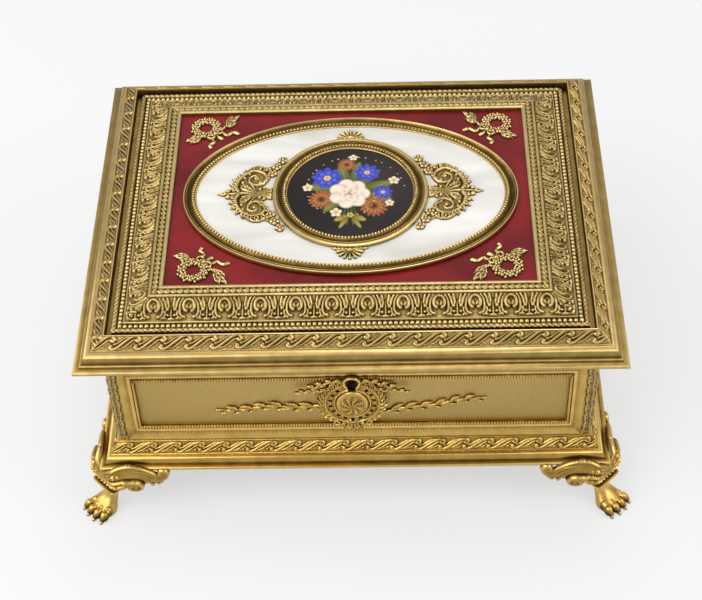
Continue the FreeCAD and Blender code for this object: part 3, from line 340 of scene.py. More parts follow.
# closed shell of a relief board: points just outside slide down the fall of the edge value onto the outline
def boardShell(board, place, floor=0.35, scale=1.2):
    h, e, cell = board["h"], board["e"], board["cell"]
    inside = e > 0
    cells = inside[:-1, :-1] | inside[1:, :-1] | inside[:-1, 1:] | inside[1:, 1:]
    used = np.zeros_like(inside)
    for rows in (slice(0, -1), slice(1, None)):
        for columns in (slice(0, -1), slice(1, None)):
            used[rows, columns] |= cells
    fallY, fallX = np.gradient(e, cell)
    size = fallX**2 + fallY**2 + 1e-6
    slide = np.where(used & ~inside, -e / size, 0)
    x = board["x"] + np.clip(slide * fallX, -1.2 * cell, 1.2 * cell)
    y = board["y"] + np.clip(slide * fallY, -1.2 * cell, 1.2 * cell)
    top = np.where(inside, np.maximum(h, floor * np.clip(e / (1.5 * cell), 0, 1)), 0)
    topId = np.full(e.shape, -1)
    topId[used] = np.arange(used.sum())
    lowId = topId.copy()
    both = used & inside
    lowId[both] = used.sum() + np.arange(both.sum())
    quads = []
    for ids, order in ((topId, (0, 1, 2, 3)), (lowId, (3, 2, 1, 0))):
        corner = np.stack([ids[:-1, :-1], ids[:-1, 1:], ids[1:, 1:], ids[1:, :-1]], -1)
        quads.append(corner[cells][:, order])
    # the shell's tone: patina with painted shade in the hollows, a painted highlight on the ridges
    patinaAndPaintedLight = patinaWithPaintedLight(np.where(inside, top, 0), cell, scale=scale)
    points = np.vstack([place(x[used], y[used], top[used]), place(x[both], y[both], 0 * x[both])])
    return points, np.vstack(quads), np.concatenate([patinaAndPaintedLight[used], patinaAndPaintedLight[both]])


# values for a node's sockets, by name or number; a value that is itself a socket is linked in
def setSockets(tree, node, values):
    for key, value in values.items():
        if isinstance(value, bpy.types.NodeSocket):
            tree.links.new(value, node.inputs[key])
        else:
            node.inputs[key].default_value = value
    return node


def addNode(tree, kind, values):
    return setSockets(tree, tree.nodes.new("ShaderNode" + kind), values)


# sum, product or other operation on two values or sockets
def addMath(tree, operation, *values):
    node = tree.nodes.new("ShaderNodeMath")
    node.operation = operation
    return setSockets(tree, node, dict(enumerate(values))).outputs["Value"]


# outputs that read a mark of the points
def addMark(tree, name):
    mark = addNode(tree, "Attribute", {})
    mark.attribute_name = name
    return mark.outputs


# noise on the object's own coordinates, squeezed where a stretch is given
def addNoise(tree, scale, detail, twist=0.0, stretch=None):
    place = addNode(tree, "TexCoord", {}).outputs["Object"]
    if stretch:
        place = addNode(tree, "Mapping", {"Vector": place, "Scale": stretch}).outputs["Vector"]
    values = {"Vector": place, "Scale": scale, "Detail": detail, "Distortion": twist}
    return addNode(tree, "TexNoise", values).outputs["Fac"]


# colour ramp: the two end stops, then any between them, each a place and a colour
def addRamp(tree, amount, *stops):
    ramp = addNode(tree, "ValToRGB", {"Fac": amount})
    elements = ramp.color_ramp.elements
    for k, (place, colour) in enumerate(stops):
        stop = elements[k] if k < 2 else elements.new(place)
        stop.position = place
        stop.color = (*colour, 1)
    return ramp.outputs["Color"]


# fine relief on a shader
def addGrain(tree, shader, height, strength, depth):
    lift = addNode(tree, "Bump", {"Height": height, "Strength": strength, "Distance": depth})
    setSockets(tree, shader, {"Normal": lift.outputs["Normal"]})


# a new material, its tree and its shader
def newFinish(name, values):
    finish = bpy.data.materials.new(name)
    finish.use_nodes = True
    tree = finish.node_tree
    return finish, tree, setSockets(tree, tree.nodes["Principled BSDF"], values)


# gilt metal: brown in the hollows as patina and painted shade, yellow gold on the faces, paler where it is
# rubbed and where a painted highlight falls; the tone mark picks the colour, or one level does where there is
# no mark
def giltFinish(name, low, middle, high, rough, marked=True, grain=0.05, level=0.6, cloudy=0.08):
    finish, tree, shader = newFinish(name, {"Metallic": 1.0})
    base = 0 if marked else level
    cloud = {"Value": addNoise(tree, 140.0, 5.0), "From Min": 0.3, "From Max": 0.7, "To Min": base - cloudy,
             "To Max": base + cloudy}
    amount = addNode(tree, "MapRange", cloud).outputs["Result"]
    if marked:
        amount = addMath(tree, "ADD", addMark(tree, "tone")["Fac"], amount)
    colour = addRamp(tree, amount, (0.16, low), (0.92, high), (0.52, middle))
    polish = addNode(tree, "MapRange", {"Value": amount, "To Min": rough + 0.16, "To Max": rough - 0.06})
    setSockets(tree, shader, {"Base Color": colour, "Roughness": polish.outputs["Result"]})
    addGrain(tree, shader, addNoise(tree, 2200.0, 3.0), grain, 0.0004)
    return finish


# stippled field: product of two sines along the diagonals of the panel, pits brown and tops gold
def stippleFinish(name, low, high, rough, pitch=0.0016):
    finish, tree, shader = newFinish(name, {"Metallic": 1.0, "Roughness": rough})
    place = addNode(tree, "TexCoord", {}).outputs["Object"]
    split = addNode(tree, "SeparateXYZ", {"Vector": place}).outputs
    along = addMath(tree, "ADD", split["X"], split["Y"])
    waves = []
    for operation in ("ADD", "SUBTRACT"):
        slant = addMath(tree, "MULTIPLY", addMath(tree, operation, along, split["Z"]), 2 * math.pi / pitch)
        waves.append(addMath(tree, "SINE", slant))
    field = addMath(tree, "MULTIPLY", *waves)
    shade = addNode(tree, "MapRange", {"Value": field, "From Min": -1.0}).outputs["Result"]
    setSockets(tree, shader, {"Base Color": addRamp(tree, shade, (0.0, low), (0.7, high))})
    addGrain(tree, shader, field, 0.35, 0.0003)
    return finish


# glossy or matt paint with a faint cloud of a second colour
def cloudFinish(name, first, second, rough, scale, shine=0.5, metal=0.0, soft=0.0, stretch=(1, 1, 1)):
    values = {"Roughness": rough, "Metallic": metal, "Specular IOR Level": shine, "Sheen Weight": soft,
              "Sheen Roughness": 0.4}
    finish, tree, shader = newFinish(name, values)
    cloud = addNoise(tree, scale, 3.0, 0.6, stretch)
    setSockets(tree, shader, {"Base Color": addRamp(tree, cloud, (0.35, first), (0.68, second))})
    return finish


# velvet: a cloud of two crimsons where the pile leans, a bright rim of sheen and a fine nap
def velvetFinish(name, first, second, tint):
    finish = cloudFinish(name, first, second, 0.92, 60, shine=0.2, soft=0.55)
    tree = finish.node_tree
    shader = setSockets(tree, tree.nodes["Principled BSDF"], {"Sheen Tint": (*tint, 1)})
    addGrain(tree, shader, addNoise(tree, 1600, 2.0), 0.5, 0.0004)
    return finish


# glossy enamel whose colour is the paint mark of its points
def paintedFinish(name):
    finish, tree, shader = newFinish(name, {"Roughness": 0.20, "Specular IOR Level": 0.25})
    setSockets(tree, shader, {"Base Color": addMark(tree, "paint")["Color"]})
    return finish


finishes = {
    "mould": giltFinish("gilt_mould", (0.066, 0.038, 0.01), (0.32, 0.21, 0.06), (0.62, 0.455, 0.19), 0.36),
    "plain": giltFinish("gilt_plain", (0.070, 0.040, 0.010), (0.40, 0.255, 0.058), (0.62, 0.43, 0.13), 0.34,
                        marked=False, cloudy=0.05),
    "stipple": stippleFinish("gilt_stipple", (0.250, 0.170, 0.052), (0.66, 0.480, 0.175), 0.40),
    "relief": giltFinish("gilt_relief", (0.06, 0.038, 0.012), (0.3, 0.205, 0.066), (0.6, 0.465, 0.215), 0.4),
    "cast": giltFinish("gilt_cast", (0.060, 0.032, 0.008), (0.40, 0.245, 0.055), (0.74, 0.51, 0.16), 0.30),
    "brass": giltFinish("hinge_brass", (0.20, 0.14, 0.05), (0.46, 0.32, 0.11), (0.60, 0.45, 0.18), 0.30,
                        marked=False, grain=0.02),
    "enamel": cloudFinish("red_enamel", (0.100, 0.003, 0.005), (0.190, 0.008, 0.010), 0.16, 22, shine=0.28),
    "pearl": cloudFinish("pearl", (0.46, 0.445, 0.40), (0.63, 0.625, 0.595), 0.24, 26, shine=0.4,
                         stretch=(0.5, 1.6, 1)),
    "painted": paintedFinish("painted_enamel"),
    "steel": cloudFinish("lock_steel", (0.22, 0.21, 0.20), (0.34, 0.33, 0.31), 0.36, 160, metal=1.0),
    "screw": cloudFinish("screw_steel", (0.26, 0.24, 0.21), (0.38, 0.36, 0.32), 0.32, 220, metal=1.0),
    "wood": cloudFinish("core_wood", (0.16, 0.075, 0.030), (0.27, 0.135, 0.058), 0.55, 60,
                        stretch=(0.15, 1.6, 1)),
    "velvet": velvetFinish("crimson_velvet", (0.122, 0.008, 0.014), (0.160, 0.011, 0.019), (0.9, 0.35, 0.36)),
    # the rim under the lid: the plain gilt darkened as painted shade
    "rim": giltFinish("gilt_rim", (0.060, 0.034, 0.009), (0.29, 0.185, 0.045), (0.46, 0.32, 0.10), 0.36,
                      marked=False, cloudy=0.05),
}


# a finish for solids that stay as they are
def dress(finish, *names):
    for name in names:
        for slot in nodes[name].material_slots:
            slot.material = finishes[finish]


# a gilt piece from its points, quads and tone mark
def putGilt(name, shape, finish, body, stands=(), crease=40):
    points, faces, tone = shape
    putPiece(name, points, [faces], finishes[finish], body, stands, tone, crease=crease)


# a relief board as a piece; flip turns its faces where the place mirrors it
def putRelief(name, board, place, finish, body, stands=(), scale=1.2, flip=False):
    points, faces, tone = boardShell(board, place, scale=scale)
    putGilt(name, (points, faces[:, ::-1] if flip else faces, tone), finish, body, stands)


# a lamp or camera is turned so that its own x, y and -z run right, above and ahead
def aim(holder, right, above, ahead, spot):
    turned = np.eye(4)
    turned[:3] = np.stack([right, above, -ahead, spot], 1)
    holder.matrix_world = Matrix(turned.tolist())
    bpy.context.scene.collection.objects.link(holder)


# floor, sky and lamps, in metres; a lamp is its place, the side of its square and its watts
stage = {"floor": (0.76, 0.765, 0.775), "rough": 0.8, "size": 6.0, "glow": (0.86, 0.86, 0.855), "even": 0.68,
         "world": 0.70, "sky": 0.20, "aimAt": (0, 0, 0.08),
         "lamps": (((-0.75, -0.70, 1.25), 1.1, 13.0), ((1.05, -0.35, 0.95), 0.8, 6.0),
                   ((0.10, 0.45, 1.45), 0.6, 5.0), ((-1.15, 0.05, 0.75), 0.8, 5.0))}
half = stage["size"] / 2
floorMesh = bpy.data.meshes.new("floor")
floorMesh.from_pydata([(-half, -half, 0), (half, -half, 0), (half, half, 0), (-half, half, 0)], [],
                      [(0, 1, 2, 3)])
floor = bpy.data.objects.new("floor", floorMesh)
bpy.context.scene.collection.objects.link(floor)
paper, tree, shader = newFinish("paper", {"Base Color": (*stage["floor"], 1), "Roughness": stage["rough"]})
glow = addNode(tree, "Emission", {"Color": (*stage["glow"], 1)})
rays = addNode(tree, "LightPath", {}).outputs
seen = addMath(tree, "MAXIMUM", rays["Is Camera Ray"], rays["Is Glossy Ray"])
share = addMath(tree, "MULTIPLY", seen, stage["even"])
blend = addNode(tree, "MixShader", {"Fac": share, 1: shader.outputs["BSDF"], 2: glow.outputs["Emission"]})
setSockets(tree, tree.nodes["Material Output"], {"Surface": blend.outputs["Shader"]})
floorMesh.materials.append(paper)
world = bpy.data.worlds.new("studio")  # the sky looks paler than it lights
world.use_nodes = True
tree = world.node_tree
rays = addNode(tree, "LightPath", {}).outputs
level = addMath(tree, "MULTIPLY_ADD", rays["Is Camera Ray"], stage["sky"], stage["world"])
setSockets(tree, tree.nodes["Background"], {"Color": (1, 1, 1, 1), "Strength": level})
bpy.context.scene.world = world
for index, (spot, side, watts) in enumerate(stage["lamps"]):
    lamp = bpy.data.lights.new(f"softbox_{index}", "AREA")
    lamp.shape = "SQUARE"
    lamp.size = side
    lamp.energy = watts
    ahead = np.array(stage["aimAt"]) - np.array(spot)
    ahead /= np.linalg.norm(ahead)
    right = np.cross(ahead, (0, 0, 1))
    right /= np.linalg.norm(right)
    aim(bpy.data.objects.new(lamp.name, lamp), right, np.cross(right, ahead), ahead, spot)

# camera, fitted to the lid edges, the plinth and the feet
eye = {"spot": (21.176, -667.324, 767.955), "pitch": 47.179, "yaw": -1.986, "roll": -2.3, "lens": 87.86,
       "chip": 36.0}
pitch, yaw, roll = (math.radians(eye[key]) for key in ("pitch", "yaw", "roll"))
ahead = np.array((math.sin(yaw) * math.cos(pitch), math.cos(yaw) * math.cos(pitch), -math.sin(pitch)))
right = np.array((math.cos(yaw), -math.sin(yaw), 0))
above = np.cross(right, ahead)
lens = bpy.data.cameras.new("camera")
lens.lens = eye["lens"]
lens.sensor_fit = "HORIZONTAL"
lens.sensor_width = eye["chip"]
camera = bpy.data.objects.new("camera", lens)
c, s = heading(roll)
aim(camera, right * c + above * s, above * c - right * s, ahead, np.array(eye["spot"]) * mm)
bpy.context.scene.camera = camera
bpy.context.scene.view_settings.view_transform = "Standard"
print("stage set")


# running wave: each strand starts in a curl at its foot, climbs to the right in two ribs and curls over into
# the next; drawn 13 by 8 and stretched to the pitch and width of the band
def makeWaves(width):
    size = np.array((waveBand["pitch"] / 13.0, width / 8.0))

    def draw(board, shift):
        place = np.array((shift, 0.0))
        strand = curve([(1.2, 2.7), (0.5, 1.7), (1.7, 0.75), (4.2, 1.5), (8.2, 4.4), (12.0, 6.8), (14.8, 7.2),
                        (16.3, 5.9), (15.4, 4.7), (14.3, 5.3)], 70) * size + place
        second = curve([(2.8, 3.3), (5.2, 4.2), (9.0, 6.6), (11.6, 7.35)], 40) * size + place
        third = curve([(5.2, 0.8), (8.4, 2.2), (11.6, 4.6), (13.0, 5.5)], 40) * size + place
        rib(board, strand, (0.75, 1.0), 1.05)
        rib(board, second, (0.55, 0.42), 0.75)
        rib(board, third, (0.40, 0.55), 0.70)
        bump(board, *(np.array((14.9, 5.6)) * size + place), 0.75, 0.75, 0.95)
        bump(board, *(np.array((1.6, 1.8)) * size + place), 0.6, 0.6, 0.8)
        for spot in np.array([(8.6, 0.9), (10.4, 1.4), (12.0, 2.4)]) * size + place:
            rib(board, [spot, spot + (0.7, 0.55), spot + (1.3, 0.9)], 0.36, 0.5)
    return makeTile(waveBand["pitch"], width, draw)


# palmette: a husk shaped as a horseshoe, its seed sunk in the middle, arched ribs round it that flare to a
# foot, a hanging leaf on either side, and between two palmettes a stem on a small base
def drawPalmette(board, shift):
    place = np.array((shift, 0.0))
    bump(board, shift, 7.6, 4.4, 5.4, 0.4)
    for side in (-1, 1):
        turn = np.array((side, 1.0))
        husk = curve([(0.0, 11.8), (1.6, 11.1), (2.6, 9.2), (2.5, 7.0), (1.5, 5.5)], 40) * turn + place
        rib(board, husk, (0.95, 1.20), 1.9)
        bump(board, shift + side * 1.6, 5.7, 1.15, 1.0, 2.0)
        bump(board, shift + side * 0.9, 7.8, 1.0, 2.0, 1.5, turn=-12 * side)
        arch = curve([(2.9, 12.2), (4.2, 9.8), (4.6, 6.8), (4.4, 4.4), (3.5, 2.7), (2.3, 2.1)], 50)
        rib(board, arch * turn + place, (0.70, 1.0), 1.45)
        bump(board, shift + side * 2.6, 2.3, 1.2, 0.95, 1.6)
        bump(board, shift + side * 6.7, 9.4, 1.1, 3.4, 0.8)
        for line, thick in (([(4.7, 12.3), (5.7, 10.2), (6.2, 8.0), (6.8, 6.4)], 0.75),
                            ([(7.0, 12.4), (7.5, 10.4), (7.8, 8.2), (7.1, 6.4)], 0.65),
                            ([(5.8, 5.4), (5.9, 4.0), (5.3, 2.4), (4.2, 1.4)], 0.65)):
            rib(board, curve(line, 40) * turn + place, thick, 1.3)
        for x, y, wide, high in ((7.0, 6.3, 1.1, 1.0), (7.2, 3.3, 0.95, 1.0), (5.7, 1.5, 1.2, 0.8)):
            bump(board, shift + side * x, y, wide, high, 1.4)
    for side in (-0.5, 0.5):
        middle = shift + side * leafSlope["pitch"]
        rib(board, [(middle, y) for y in np.linspace(1.2, 9.0, 30)], (0.70, 0.4), 1.3)
        bump(board, middle, 1.1, 2.2, 0.9, 1.4)


# twisted cord: slanting ribs laid over a round
def drawRope(board, shift):
    x, y, w = board["x"], board["y"], rimRows["rope"]
    across = np.clip(y / w, 0, 1)
    lay = np.abs(np.sin(np.pi * ((x - shift) / rimRows["ropePitch"] + 0.85 * across)))
    board["h"][:] = 0.75 * np.sqrt(lay) * np.sin(np.pi * across) ** 0.5
    board["e"][:] = 1


# row of beads, one to a pitch
def makeBeads(width, pitch, height, slim):
    def draw(board, shift):
        bump(board, shift + pitch / 2, width / 2, pitch / 2 * slim, width / 2 * 0.96, height)
    return makeTile(pitch, width, draw, cell=0.08)


# overlapping leaf lobes that point along the run
def drawLobes(board, shift):
    w, p = sightRow["beads"], sightRow["pitch"]
    bump(board, shift + 0.42 * p, w / 2, 0.56 * p, w * 0.46, 1.15)
    bump(board, shift + 0.10 * p, w / 2, 0.26 * p, w * 0.30, 1.25)
    for side in (-1, 1):
        rim = curve([(0.95, 0.5), (0.75, 0.5 + side * 0.3), (0.35, 0.5 + side * 0.47)], 20)
        rib(board, rim * (p, w) + (shift, 0), 0.28, 0.95)


waveBand = {"pitch": 13.0, "width": 8.1}
leafSlope = {"pitch": 17.8, "width": 12.6}
rimRows = {"rope": 2.4, "ropePitch": 2.9, "beads": 2.5, "beadPitch": 2.75, "beadHigh": 1.15, "slim": 0.88}
sightRow = {"beads": 3.4, "pitch": 3.4}
tooth = {"pitch": 2.1, "deep": 1.5, "high": 1.05, "slim": 0.72}
waveTile = makeWaves(waveBand["width"])
leafTile = makeTile(leafSlope["pitch"], leafSlope["width"], drawPalmette, scale=1.5)
ropeTile = makeTile(rimRows["ropePitch"], rimRows["rope"], drawRope, cell=0.08)
beadTile = makeBeads(rimRows["beads"], rimRows["beadPitch"], rimRows["beadHigh"], rimRows["slim"])
lobeTile = makeTile(sightRow["pitch"], sightRow["beads"], drawLobes, cell=0.08)
toothTile = makeBeads(tooth["deep"], tooth["pitch"], tooth["high"], tooth["slim"])
print("chasing drawn")

# spacing of the rows across each chased band
rowGap = {"waves": 0.335, "beads": 0.36, "leaves": 0.385, "lobes": 0.34, "teeth": 0.36, "plinth": 0.33,
          "dots": 0.3, "wallBeads": 0.34}


# section of a moulding from its stretches: points, a tone for each or one for all, and the tile chased on it
def section(stretches):
    rows, shine, bands = np.zeros((0, 2)), [], []
    for points, tone, *tiles in stretches:
        bands += [(len(rows), len(rows) + len(points) - 1, tile) for tile in tiles]
        rows = np.vstack([rows, points])
        shine += [tone] * len(points) if isinstance(tone, float) else list(tone)
    return rows, shine, bands


# a moulding carried round the lid or the plinth in place of a node
def putMould(name, size, stretches, finish, body, node, step=None, fade=1.0, crease=40):
    putGilt(name, mitredRing(*size, *section(stretches), step, fade), finish, body, (node,), crease=crease)


sweep = np.linspace(0, np.pi / 2, 10)[:, None]
quarter = np.hstack([1 - np.cos(sweep), np.sin(sweep)])  # a quarter round, one by one

# lid, outer moulding: insets from the lid edge and heights above its underside
lidOuter = {"flange": 1.7, "ledge": 3.2, "ledgeTop": 2.9, "torus": (4.7, 4.2), "band": (8.6, 8.2),
            "crest": (15.4, 12.6), "crestWidth": 0.8, "groove": 7.0, "grooveEnd": 19.6, "step": 0.38}
low, high = nodeBox("lid_outer_moulding")
lidSize = high[0] - low[0], high[1] - low[1], low[2]  # width, depth and underside
ledge, groove, grooveEnd = (lidOuter[key] for key in ("ledge", "groove", "grooveEnd"))
torus, band, crest = (np.array(lidOuter[key]) for key in ("torus", "band", "crest"))
crestWidth = lidOuter["crestWidth"]
# listed tones are painted light: highlights on the edge, torus top and crest, shade under the flange and in
# the groove
putMould("lid_edge", lidSize, [
    ([(11.8, 0.0), (0.25, 0.0), (0.0, 0.25), (0.0, 1.35), (0.35, lidOuter["flange"]), (ledge - 0.2, 1.9),
      (ledge, 2.0), (ledge + 0.1, lidOuter["ledgeTop"]), (ledge + 0.4, 3.2), (torus[0] - 0.2, 3.4)],
     (0.3, 0.5, 0.7, 0.8, 0.7, 0.45, 0.4, 0.5, 0.62, 0.35)),
    (torus + (band - torus) * quarter, (0.3, *np.linspace(0.5, 0.85, 9))),
    ([(9.0, 8.0), (11.8, 6.0)], 0.2)], "mould", "lid", "lid_outer_moulding", crease=50)
putMould("lid_wave_band", lidSize, [
    ([(11.0, 6.3), band + (0.0, -0.5), band + (0.0, 0.1), band + (0.2, 0.5), band + (0.5, 0.6)],
     (0.2, 0.35, 0.6, 0.85, 0.5)),
    (fine([band + (0.55, 0.36), crest - (0.25, 0.16)], rowGap["waves"]), 0.5, waveTile),
    ([crest + (-0.2, 0.1), crest + (-0.15, 0.4), crest + (0.15, 0.55), crest + (0.6, 0.5),
      crest + (crestWidth, 0.0), (crest[0] + crestWidth, groove - 0.6)], (0.4, 0.8, 0.95, 0.85, 0.5, 0.05))],
    "mould", "lid", "lid_outer_moulding", lidOuter["step"])
putMould("lid_groove", lidSize, [
    ([(14.0, 5.0), (15.9, groove + 0.1), (16.4, groove), (grooveEnd, groove), (grooveEnd, 5.0)],
     (0.3, 0.4, 0.5, 0.4, 0.3))], "mould", "lid", "lid_outer_moulding")

# lid, inner moulding: rope and bead rows, palmette slope, sight row
lidInner = {"rope": (20.5, 10.75), "ropeHalf": 1.2, "beads": ((21.95, 11.05), (24.45, 11.2)),
            "leafFoot": (25.5, 12.1), "leafTop": (36.6, 17.8), "leafSag": 0.9,
            "lobes": ((38.8, 18.0), (41.9, 18.0)), "step": 0.41}
lay = np.linspace(0.15, np.pi - 0.15, 8)
ropeLine = np.array(lidInner["rope"]) + lidInner["ropeHalf"] * np.stack([-np.cos(lay), 0.75 * np.sin(lay)], 1)
# listed tones are painted light: shade down the groove walls and the steps, highlights on the fillet tops
putMould("lid_rope_and_beads", lidSize, [
    ([(19.2, 6.6), (19.2, 10.2)], (0.05, 0.2)), (ropeLine, 0.5, ropeTile), ([(21.85, 10.8)], 0.1),
    (fine(lidInner["beads"], rowGap["beads"]), 0.3, beadTile),
    ([(24.6, 11.4), (24.75, 12.25), (25.1, 12.45), (25.5, 12.25), (25.6, 11.0), (25.6, 6.6)],
     (0.15, 0.8, 0.9, 0.8, 0.2, 0.1))], "relief", "lid", "lid_inner_moulding", lidInner["step"])
leafFoot, leafTop = np.array(lidInner["leafFoot"]), np.array(lidInner["leafTop"])
u = np.linspace(0, 1, int(np.hypot(*(leafTop - leafFoot)) / rowGap["leaves"]))[:, None]
leafLine = leafFoot + (leafTop - leafFoot) * u + np.hstack([0 * u, -lidInner["leafSag"] * np.sin(np.pi * u)])
putMould("lid_palmettes", lidSize, [
    ([(25.4, 6.6), (25.4, 11.6)], (0.1, 0.3)), (leafLine, 0.3, leafTile),
    ([(36.8, 18.0), (37.0, 18.55), (37.4, 18.75), (38.3, 18.7), (38.7, 18.3), (38.7, 15.0)],
     (0.3, 0.65, 0.78, 0.72, 0.5, 0.2))], "relief", "lid", "lid_inner_moulding", lidInner["step"], fade=1.5)
putMould("lid_sight_row", lidSize, [
    ([(38.5, 15.0), (38.6, 17.6)], 0.1), (fine(lidInner["lobes"], rowGap["lobes"]), 0.2, lobeTile),
    ([(42.05, 18.4), (42.2, 19.1), (42.6, 19.35), (43.8, 19.3), (44.3, 18.9), (44.4, 18.3), (44.4, 16.6),
      (43.0, 15.0)], (0.35, 0.65, 0.82, 0.82, 0.72, 0.5, 0.3, 0.1))],
    "relief", "lid", "lid_inner_moulding", lidInner["step"])
dress("enamel", "enamel_panel")
dress("pearl", "pearl_plaque")
print("lid mouldings done")


# frame round an oval: outer rows, a cove sunk as half a sine, a fillet, the row of teeth and the inner edge;
# the cove is its start, run, level and sink
def putOval(name, trim):
    low, high = nodeBox(name)
    start, run, level, sink = trim["cove"]
    k = np.arange(8)
    cove = np.stack([start + run * k / 7, level - sink * np.sin(np.pi * k / 7)], 1)
    teeth = fine(trim["teeth"], rowGap["teeth"])
    lines = section([(trim["outer"], trim["outerShine"]), (cove, trim["coveShine"]), ([trim["fillet"]], 0.5),
                     (teeth, 0.12, toothTile), (trim["inner"], trim["innerShine"])])
    ring = ovalRing(high[0], high[1], low[2], *lines, trim["step"])
    putGilt(f"{name}_relief", ring, "mould", "lid", (name,))


# oval frame: bright edge and second fillet with painted highlights, cove in painted shade, row of teeth, thin
# inner edge
ovalTrim = {"outer": [(0.3, 0.0), (0.0, 0.4), (0.0, 2.0), (0.3, 2.6), (0.75, 2.75), (1.15, 2.5), (1.35, 2.05),
                      (1.5, 2.6), (1.75, 2.95)],
            "outerShine": [0.2, 0.3, 0.7, 0.95, 0.95, 0.5, 0.05, 0.6, 0.85], "cove": (1.95, 2.75, 2.75, 1.05),
            "coveShine": [0.32, 0.22, 0.16, 0.14, 0.14, 0.16, 0.22, 0.4], "fillet": (4.8, 2.75),
            "teeth": ((4.95, 2.55), (6.35, 2.05)),
            "inner": [(6.5, 1.9), (6.75, 2.0), (7.15, 1.9), (7.4, 1.5), (7.5, 1.0), (7.5, 0.0)],
            "innerShine": [0.3, 0.8, 0.85, 0.8, 0.5, 0.2], "step": 0.42}
putOval("oval_frame", ovalTrim)

# roundel frame: flat bright ring with a painted highlight, cove in painted shade, teeth round the enamel
ringTrim = {"outer": [(0.3, 0.0), (0.0, 0.4), (0.0, 1.5), (0.3, 2.0), (0.9, 2.2), (1.6, 2.25), (2.1, 2.1),
                      (2.3, 1.9), (2.5, 2.3)],
            "outerShine": [0.2, 0.4, 0.75, 0.9, 0.8, 0.8, 0.5, 0.1, 0.7], "cove": (2.75, 2.5, 2.35, 0.75),
            "coveShine": [0.3, 0.2, 0.14, 0.12, 0.12, 0.14, 0.2, 0.4], "fillet": (5.45, 2.3),
            "teeth": ((5.6, 2.15), (7.0, 1.75)),
            "inner": [(7.15, 1.5), (7.4, 1.5), (7.8, 1.3), (8.0, 0.9), (8.0, 0.0)],
            "innerShine": [0.3, 0.6, 0.7, 0.4, 0.2], "step": 0.4}
putOval("roundel_frame", ringTrim)
print("oval and roundel frames done")

# plinth: edge, ledge and torus, then the wave band
plinth = {"edge": 1.8, "ledge": 2.6, "torus": (3.6, 4.1), "band": ((6.5, 6.6), (9.6, 12.9)), "bandWidth": 7.0,
          "step": 0.37}
low, high = nodeBox("plinth_moulding")
plinthSize = high[0] - low[0], high[1] - low[1], low[2]
roundLine = np.array((plinth["ledge"], plinth["edge"] + 0.2)) + np.array(plinth["torus"]) * quarter
# listed tones are painted light: highlights on the edge, the torus top and the band's fillets, shade
# underneath
putMould("plinth_torus", plinthSize, [
    ([(30.0, 0.0), (0.3, 0.0), (0.0, 0.3), (0.0, 1.5), (0.35, plinth["edge"]), (2.5, 1.95)],
     (0.2, 0.4, 0.7, 0.8, 0.7, 0.25)), (roundLine, np.linspace(0.45, 0.85, 10)),
    ([(6.5, 6.0), (9.0, 5.0), (30.0, 3.0)], (0.3, 0.1, 0.1))], "cast", "case", "plinth_moulding", crease=50)
putMould("plinth_wave_band", plinthSize, [
    ([(9.6, 5.0), (6.3, 5.6), (6.1, 6.0), (6.15, 6.4), (6.4, 6.55)], (0.1, 0.3, 0.7, 0.85, 0.5)),
    (fine(plinth["band"], rowGap["plinth"]), 0.5, makeWaves(plinth["bandWidth"])),
    ([(9.65, 13.0), (9.6, 13.35), (9.8, 13.5), (13.2, 13.5), (13.2, 8.0)], (0.5, 0.85, 0.9, 0.4, 0.1))],
    "cast", "case", "plinth_moulding", plinth["step"])
print("plinth done")

# feet: local a and b run outwards from the plinth corner along x and y; the paw points along their diagonal
paw = {"corner": (137.2, 108.2), "around": 80, "levels": 84, "collar": 17.9, "neck": 18.9, "crown": 20.0,
       "flute": 2.4, "fluteDeep": 0.4,
       "toes": ((-5.5, 4.2, -15), (-1.9, 5.4, -5), (1.9, 5.4, 5), (5.5, 4.2, 15)),  # across, along, lean
       "toe": (6.3, 2.5, 3.3), "toeLift": 2.9, "claw": (2.3, 1.1, 1.2), "clawLift": 1.5, "clawAhead": 5.1,
       "blunt": 0.65, "droop": 0.018, "toeGrid": (25, 26)}
# leg sections: height, centre along the diagonal, half length along it, half breadth across it, squareness
legLevels = np.array([(0.0, 2.4, 6.0, 7.0, 2.3), (0.5, 2.4, 6.6, 7.6, 2.3), (2.2, 2.2, 6.7, 7.8, 2.3),
                      (3.8, 1.4, 6.3, 7.5, 2.3), (5.4, 0.1, 5.7, 6.7, 2.2), (7.0, -1.7, 5.0, 5.6, 2.1),
                      (8.8, -3.5, 4.3, 4.6, 2.0), (11.0, -5.2, 3.9, 4.1, 2.0), (13.0, -6.2, 3.9, 4.2, 2.0),
                      (15.0, -6.8, 4.3, 5.2, 2.2), (16.3, -6.8, 5.1, 6.6, 3.0), (17.0, -6.4, 6.1, 8.1, 5.0),
                      (17.4, -6.0, 6.8, 8.8, 7.0), (18.4, -6.0, 6.8, 8.8, 7.0), (18.8, -7.0, 5.5, 7.8, 6.0),
                      (19.3, -7.1, 5.5, 7.8, 6.0), (20.1, -6.8, 5.9, 8.0, 6.0), (21.0, -7.8, 5.3, 7.4, 4.0),
                      (25.0, -10.0, 5.0, 7.0, 3.0), (30.8, -11.0, 6.0, 6.6, 2.4)])


# d along the diagonal of a corner and e across it, turned into a and b
def offDiagonal(d, e, z):
    r = math.sqrt(0.5)
    return np.stack([(d - e) * r, (d + e) * r, z], -1)


